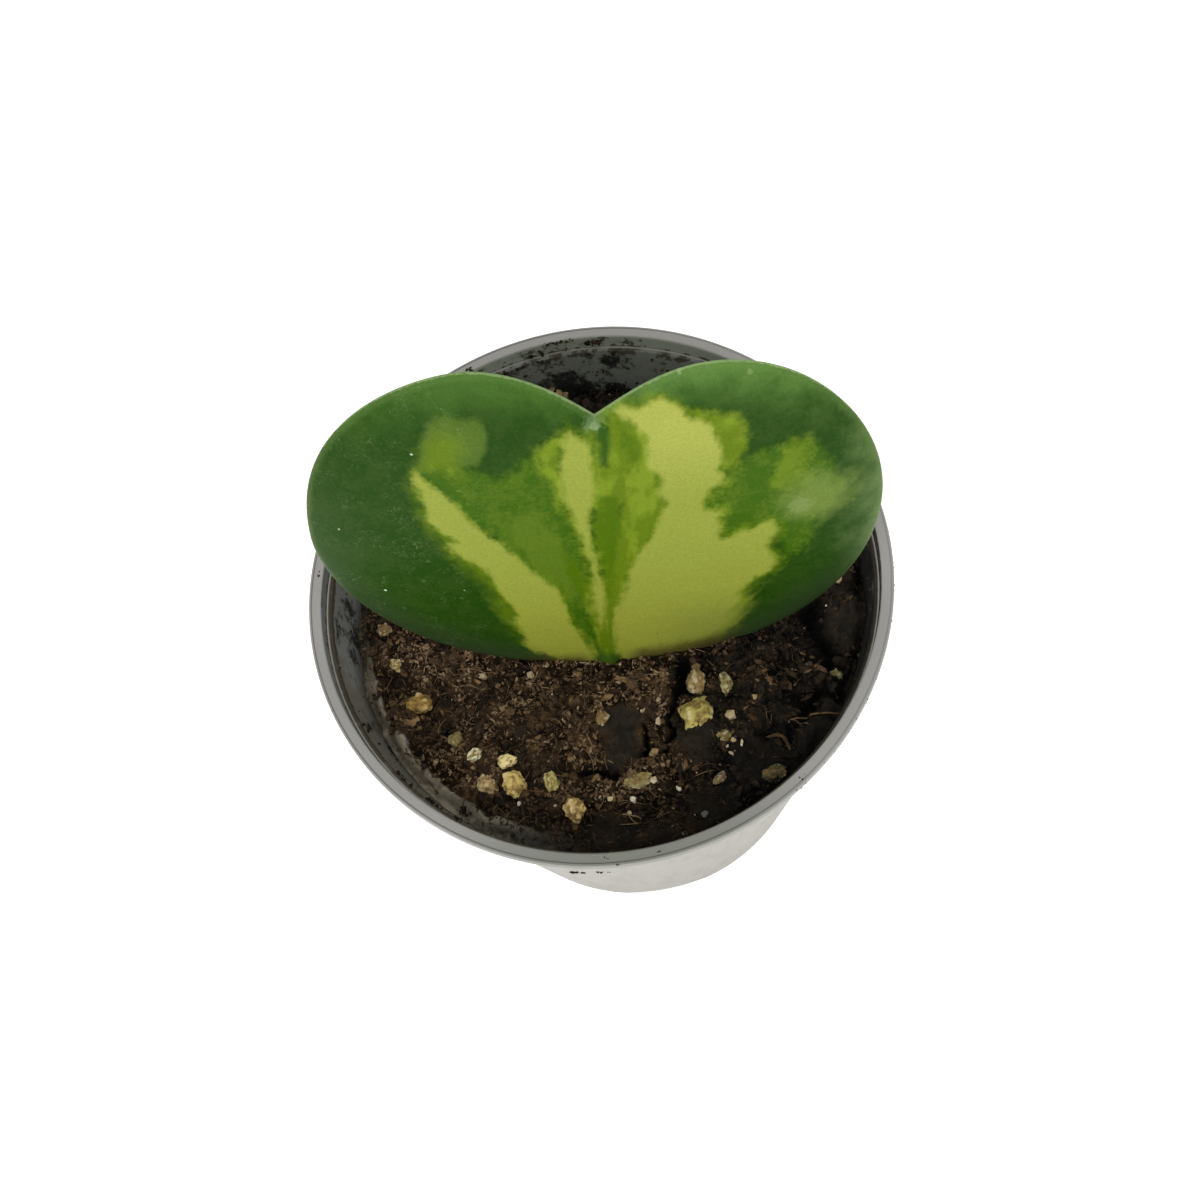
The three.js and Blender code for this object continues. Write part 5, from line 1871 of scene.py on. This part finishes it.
    soiled = plus(tree, margin, times(tree, plus(tree, fray, fine), 1.4))
    reach = plus(tree, rise(tree, across, -2.0, 4.0), 2.3)
    soiled = rise(tree, minus(tree, soiled, reach), 1.3, -1.3)
    soiled = times(tree, soiled, rise(tree, up, 7.0, 3.0))
    offStem = sizeOf(tree, minus(tree, across, 0.2))
    soiled = times(tree, soiled, rise(tree, offStem, 1.2, 3.4))
    offMiddle = sizeOf(tree, minus(tree, across, 2.5))
    soiled = times(tree, soiled, rise(tree, offMiddle, 13.0, 7.0))
    colour = lay(colour, soiled, "stain", 0.8)
    atStem = times(tree, rise(tree, sizeOf(tree, across), 1.9, 0.9), rise(tree, up, 2.6, 0.6))
    colour = lay(colour, atStem, "stem")
    # Painted highlight along the upper rim, brightest at its very top edge.
    nearRim = rise(tree, plus(tree, margin, times(tree, mottle, 0.8)), 0.7, 0.1)
    colour = lay(colour, times(tree, nearRim, rise(tree, up, 6.0, 16.0)), "rim", 0.3)
    edge = rise(tree, plus(tree, margin, times(tree, fine, 0.15)), 0.07, 0.01)
    colour = lay(colour, times(tree, edge, rise(tree, up, 24.0, 36.0)), "frostAndHighlight", 0.45)
    for markAcross, markUp, radius, share, tone in leafMarks:
        ragged = times(tree, plus(tree, fray, fine), 1.1 * radius)
        colour = lay(colour, spot(tree, blade, (markAcross, markUp, 0.0), radius, ragged), tone, share)
    scratches = grain(tree, place, form["scratchSize"], 2.0, 0.5, form["scratchTwist"])
    scratches = rise(tree, sizeOf(tree, minus(tree, scratches, 0.5)), *form["scratchEdge"])
    scratches = times(tree, scratches, rise(tree, grain(tree, place, 3.0, 2.0), 0.46, 0.58))
    scratches = times(tree, scratches, rise(tree, across, -6.0, -14.0))
    colour = lay(colour, scratches, "frostAndHighlight", form["scratchShare"])
    grit = times(tree, minus(tree, grain(tree, place, form["gritSize"], 2.0), 0.5), form["gritShade"])
    colour = blendColours(tree, 1.0, colour, greyOf(tree, plus(tree, grit, 1.0)), "MULTIPLY")
    behind = minus(tree, 1.0, readAttribute(tree, "front"))
    colour = lay(colour, behind, "back", form["backShare"])
    feedColour(tree, shader, colour)
    wax = times(tree, grain(tree, place, form["waxSize"], 4.0), form["waxUneven"])
    tree.links.new(plus(tree, wax, form["waxRoughness"]), shader.inputs["Roughness"])
    addRelief(tree, shader, grain(tree, place, form["reliefSize"], 4.0, 0.6), form["reliefDepth"], 0.6)
    return material


leafMaterial = makeLeafMaterial()
finishPiece(makeLeaf(), leafMaterial, "leaf_tissue", "leaf")

# Soil on the pot.

# Crumbs that stick to the pot: angle, spread of the angle, radius, spread, height, spread, largest half
# length and count.
stuckCrumbs = [
    (84.5, 3.5, 28.6, 0.25, 45.9, 0.15, 0.3, 26),
    (77.5, 2.2, 28.5, 0.12, 45.2, 0.5, 0.32, 26),
    (88.0, 5.0, 28.45, 0.12, 45.0, 0.6, 0.26, 22),
    (106.3, 2.4, 28.9, 0.3, 46.0, 0.05, 0.26, 14),
    (98.0, 10.0, 27.9, 0.2, 43.9, 0.15, 0.24, 40),
    (218.0, 9.0, 27.95, 0.15, 44.0, 0.15, 0.2, 50),
    (196.0, 1.0, 27.6, 0.2, 43.0, 0.4, 0.22, 8),
    (161.8, 0.8, 29.2, 0.15, 46.0, 0.03, 0.16, 4),
    (-102.0, 0.5, 29.25, 0.1, 46.0, 0.02, 0.14, 3),
    (-100.2, 0.6, 29.9, 0.1, 45.9, 0.05, 0.14, 4),
    (-92.3, 0.4, 29.4, 0.1, 46.0, 0.02, 0.12, 2),
    (-61.0, 0.6, 29.5, 0.2, 46.0, 0.02, 0.12, 3),
    (-35.0, 30.0, 29.95, 0.06, 45.4, 0.4, 0.1, 50),
    (-114.0, 1.1, 25.28, 0.04, 26.8, 0.7, 0.24, 16),
    (-112.4, 0.9, 25.48, 0.04, 27.8, 0.5, 0.2, 9),
    (-106.3, 1.7, 25.9, 0.04, 29.8, 0.3, 0.17, 12),
]
# Where few crumbs stick to the inner wall: angle, spread and share that is missing.
barePlaces = [(200.0, 42.0, 0.85)]
stuckOnWall = {
    "count": 900,
    "size": 0.2,
    "smallest": 0.05,
    "below": 1.5,
    "rise": 5.8,
    "lowness": 2.2,
    "inset": 0.04,
    "tone": 0.22,
    "toneSpread": 0.16,
}


# Soil crumbs on the pot: in their known places, and clinging to the slope of its inner wall, most of them
# low.
def makeStuckCrumbs():
    draw = np.random.default_rng(12)
    form = stuckOnWall
    table = np.array(stuckCrumbs)
    table = np.repeat(table[:, :7], table[:, 7].astype(int), axis=0)
    offset = draw.uniform(-1, 1, (len(table), 3))
    angle = np.radians(table[:, 0] + table[:, 1] * offset[:, 0])
    radius = table[:, 2] + table[:, 3] * offset[:, 1]
    height = table[:, 4] + table[:, 5] * offset[:, 2]
    count = form["count"]
    risen = form["rise"] * draw.uniform(0, 1, count) ** form["lowness"]
    turn = draw.uniform(0, 360, count)
    kept = draw.uniform(0, 1, count) > shareRound(turn, barePlaces)
    wallHeight = (soilLevel - form["below"] + risen)[kept]
    angle = np.append(angle, np.radians(turn[kept]))
    radius = np.append(radius, innerWallRadius(wallHeight) - form["inset"])
    height = np.append(height, wallHeight)
    places = np.stack([radius * np.cos(angle), radius * np.sin(angle), height], axis=1)
    largest = np.append(table[:, 6], np.full(len(wallHeight), form["size"]))
    half = form["smallest"] + largest * draw.uniform(0, 1, len(places)) ** 2
    sizes = crumbSizes(draw, half, (0.6, 1.0), (0.4, 0.8))
    tones = np.clip(draw.normal(form["tone"], form["toneSpread"], len(places)), 0, 1)
    return scatterForms("stuck_crumbs", draw, places, sizes, tones)


finishPiece(makeStuckCrumbs(), crumbMaterial, "potting_soil")

# Floor and light.

studio = {
    "floorSize": 3000.0,
    "floorColour": tint(238, 238, 238),
    "floorLight": tint(242, 242, 241),
    "floorMottle": 60.0,
    "floorGlow": 0.4,
    "worldStrength": 1.0,
    "lampAim": 40.0,  # the height that the lamps look at
    "lights": [
        {"name": "overhead", "place": (160, 260, 620), "size": 420.0, "power": 0.9},
        {"name": "front", "place": (-260, -520, 420), "size": 420.0, "power": 1.8},
    ],
}


def makeFloor():
    half = studio["floorSize"] / 2
    points = np.array([[-half, -half, 0], [half, -half, 0], [half, half, 0], [-half, half, 0]])
    mesh = bpy.data.meshes.new("floor")
    mesh.from_pydata((points * mm).tolist(), [], [(0, 1, 2, 3)])
    floor = bpy.data.objects.new("floor", mesh)
    bpy.context.scene.collection.objects.link(floor)
    material, tree, shader = newMaterial("pale_floor", Roughness=0.9, Specular_IOR_Level=0.1)
    mottle = grain(tree, objectPlace(tree), studio["floorMottle"], 2.0)
    feedColour(tree, shader, blendColours(tree, mottle, studio["floorColour"], studio["floorLight"]))
    shader.inputs["Emission Color"].default_value = (1, 1, 1, 1)
    shader.inputs["Emission Strength"].default_value = studio["floorGlow"]
    mesh.materials.append(material)


# A square lamp that looks at a point on the pot's axis.
def makeLamp(name, place, size, power):
    data = bpy.data.lights.new(name, "AREA")
    data.shape = "SQUARE"
    data.size = size * mm
    data.energy = power
    away = np.array(place, dtype=float) - np.array([0, 0, studio["lampAim"]])
    away = away / np.linalg.norm(away)
    side = np.cross([0.0, 1.0, 0.0], away)
    side = side / np.linalg.norm(side)
    standAt(bpy.data.objects.new(name, data), side, np.cross(away, side), away, np.array(place) * mm)


def makeStudio():
    makeFloor()
    for light in studio["lights"]:
        makeLamp(**light)
    scene = bpy.context.scene
    world = bpy.data.worlds.new("studio")
    world.use_nodes = True
    background = world.node_tree.nodes["Background"]
    background.inputs["Color"].default_value = (1, 1, 1, 1)
    background.inputs["Strength"].default_value = studio["worldStrength"]
    scene.world = world
    scene.view_settings.view_transform = "Standard"
    scene.view_settings.look = "None"


makeStudio()
print("studio lit")
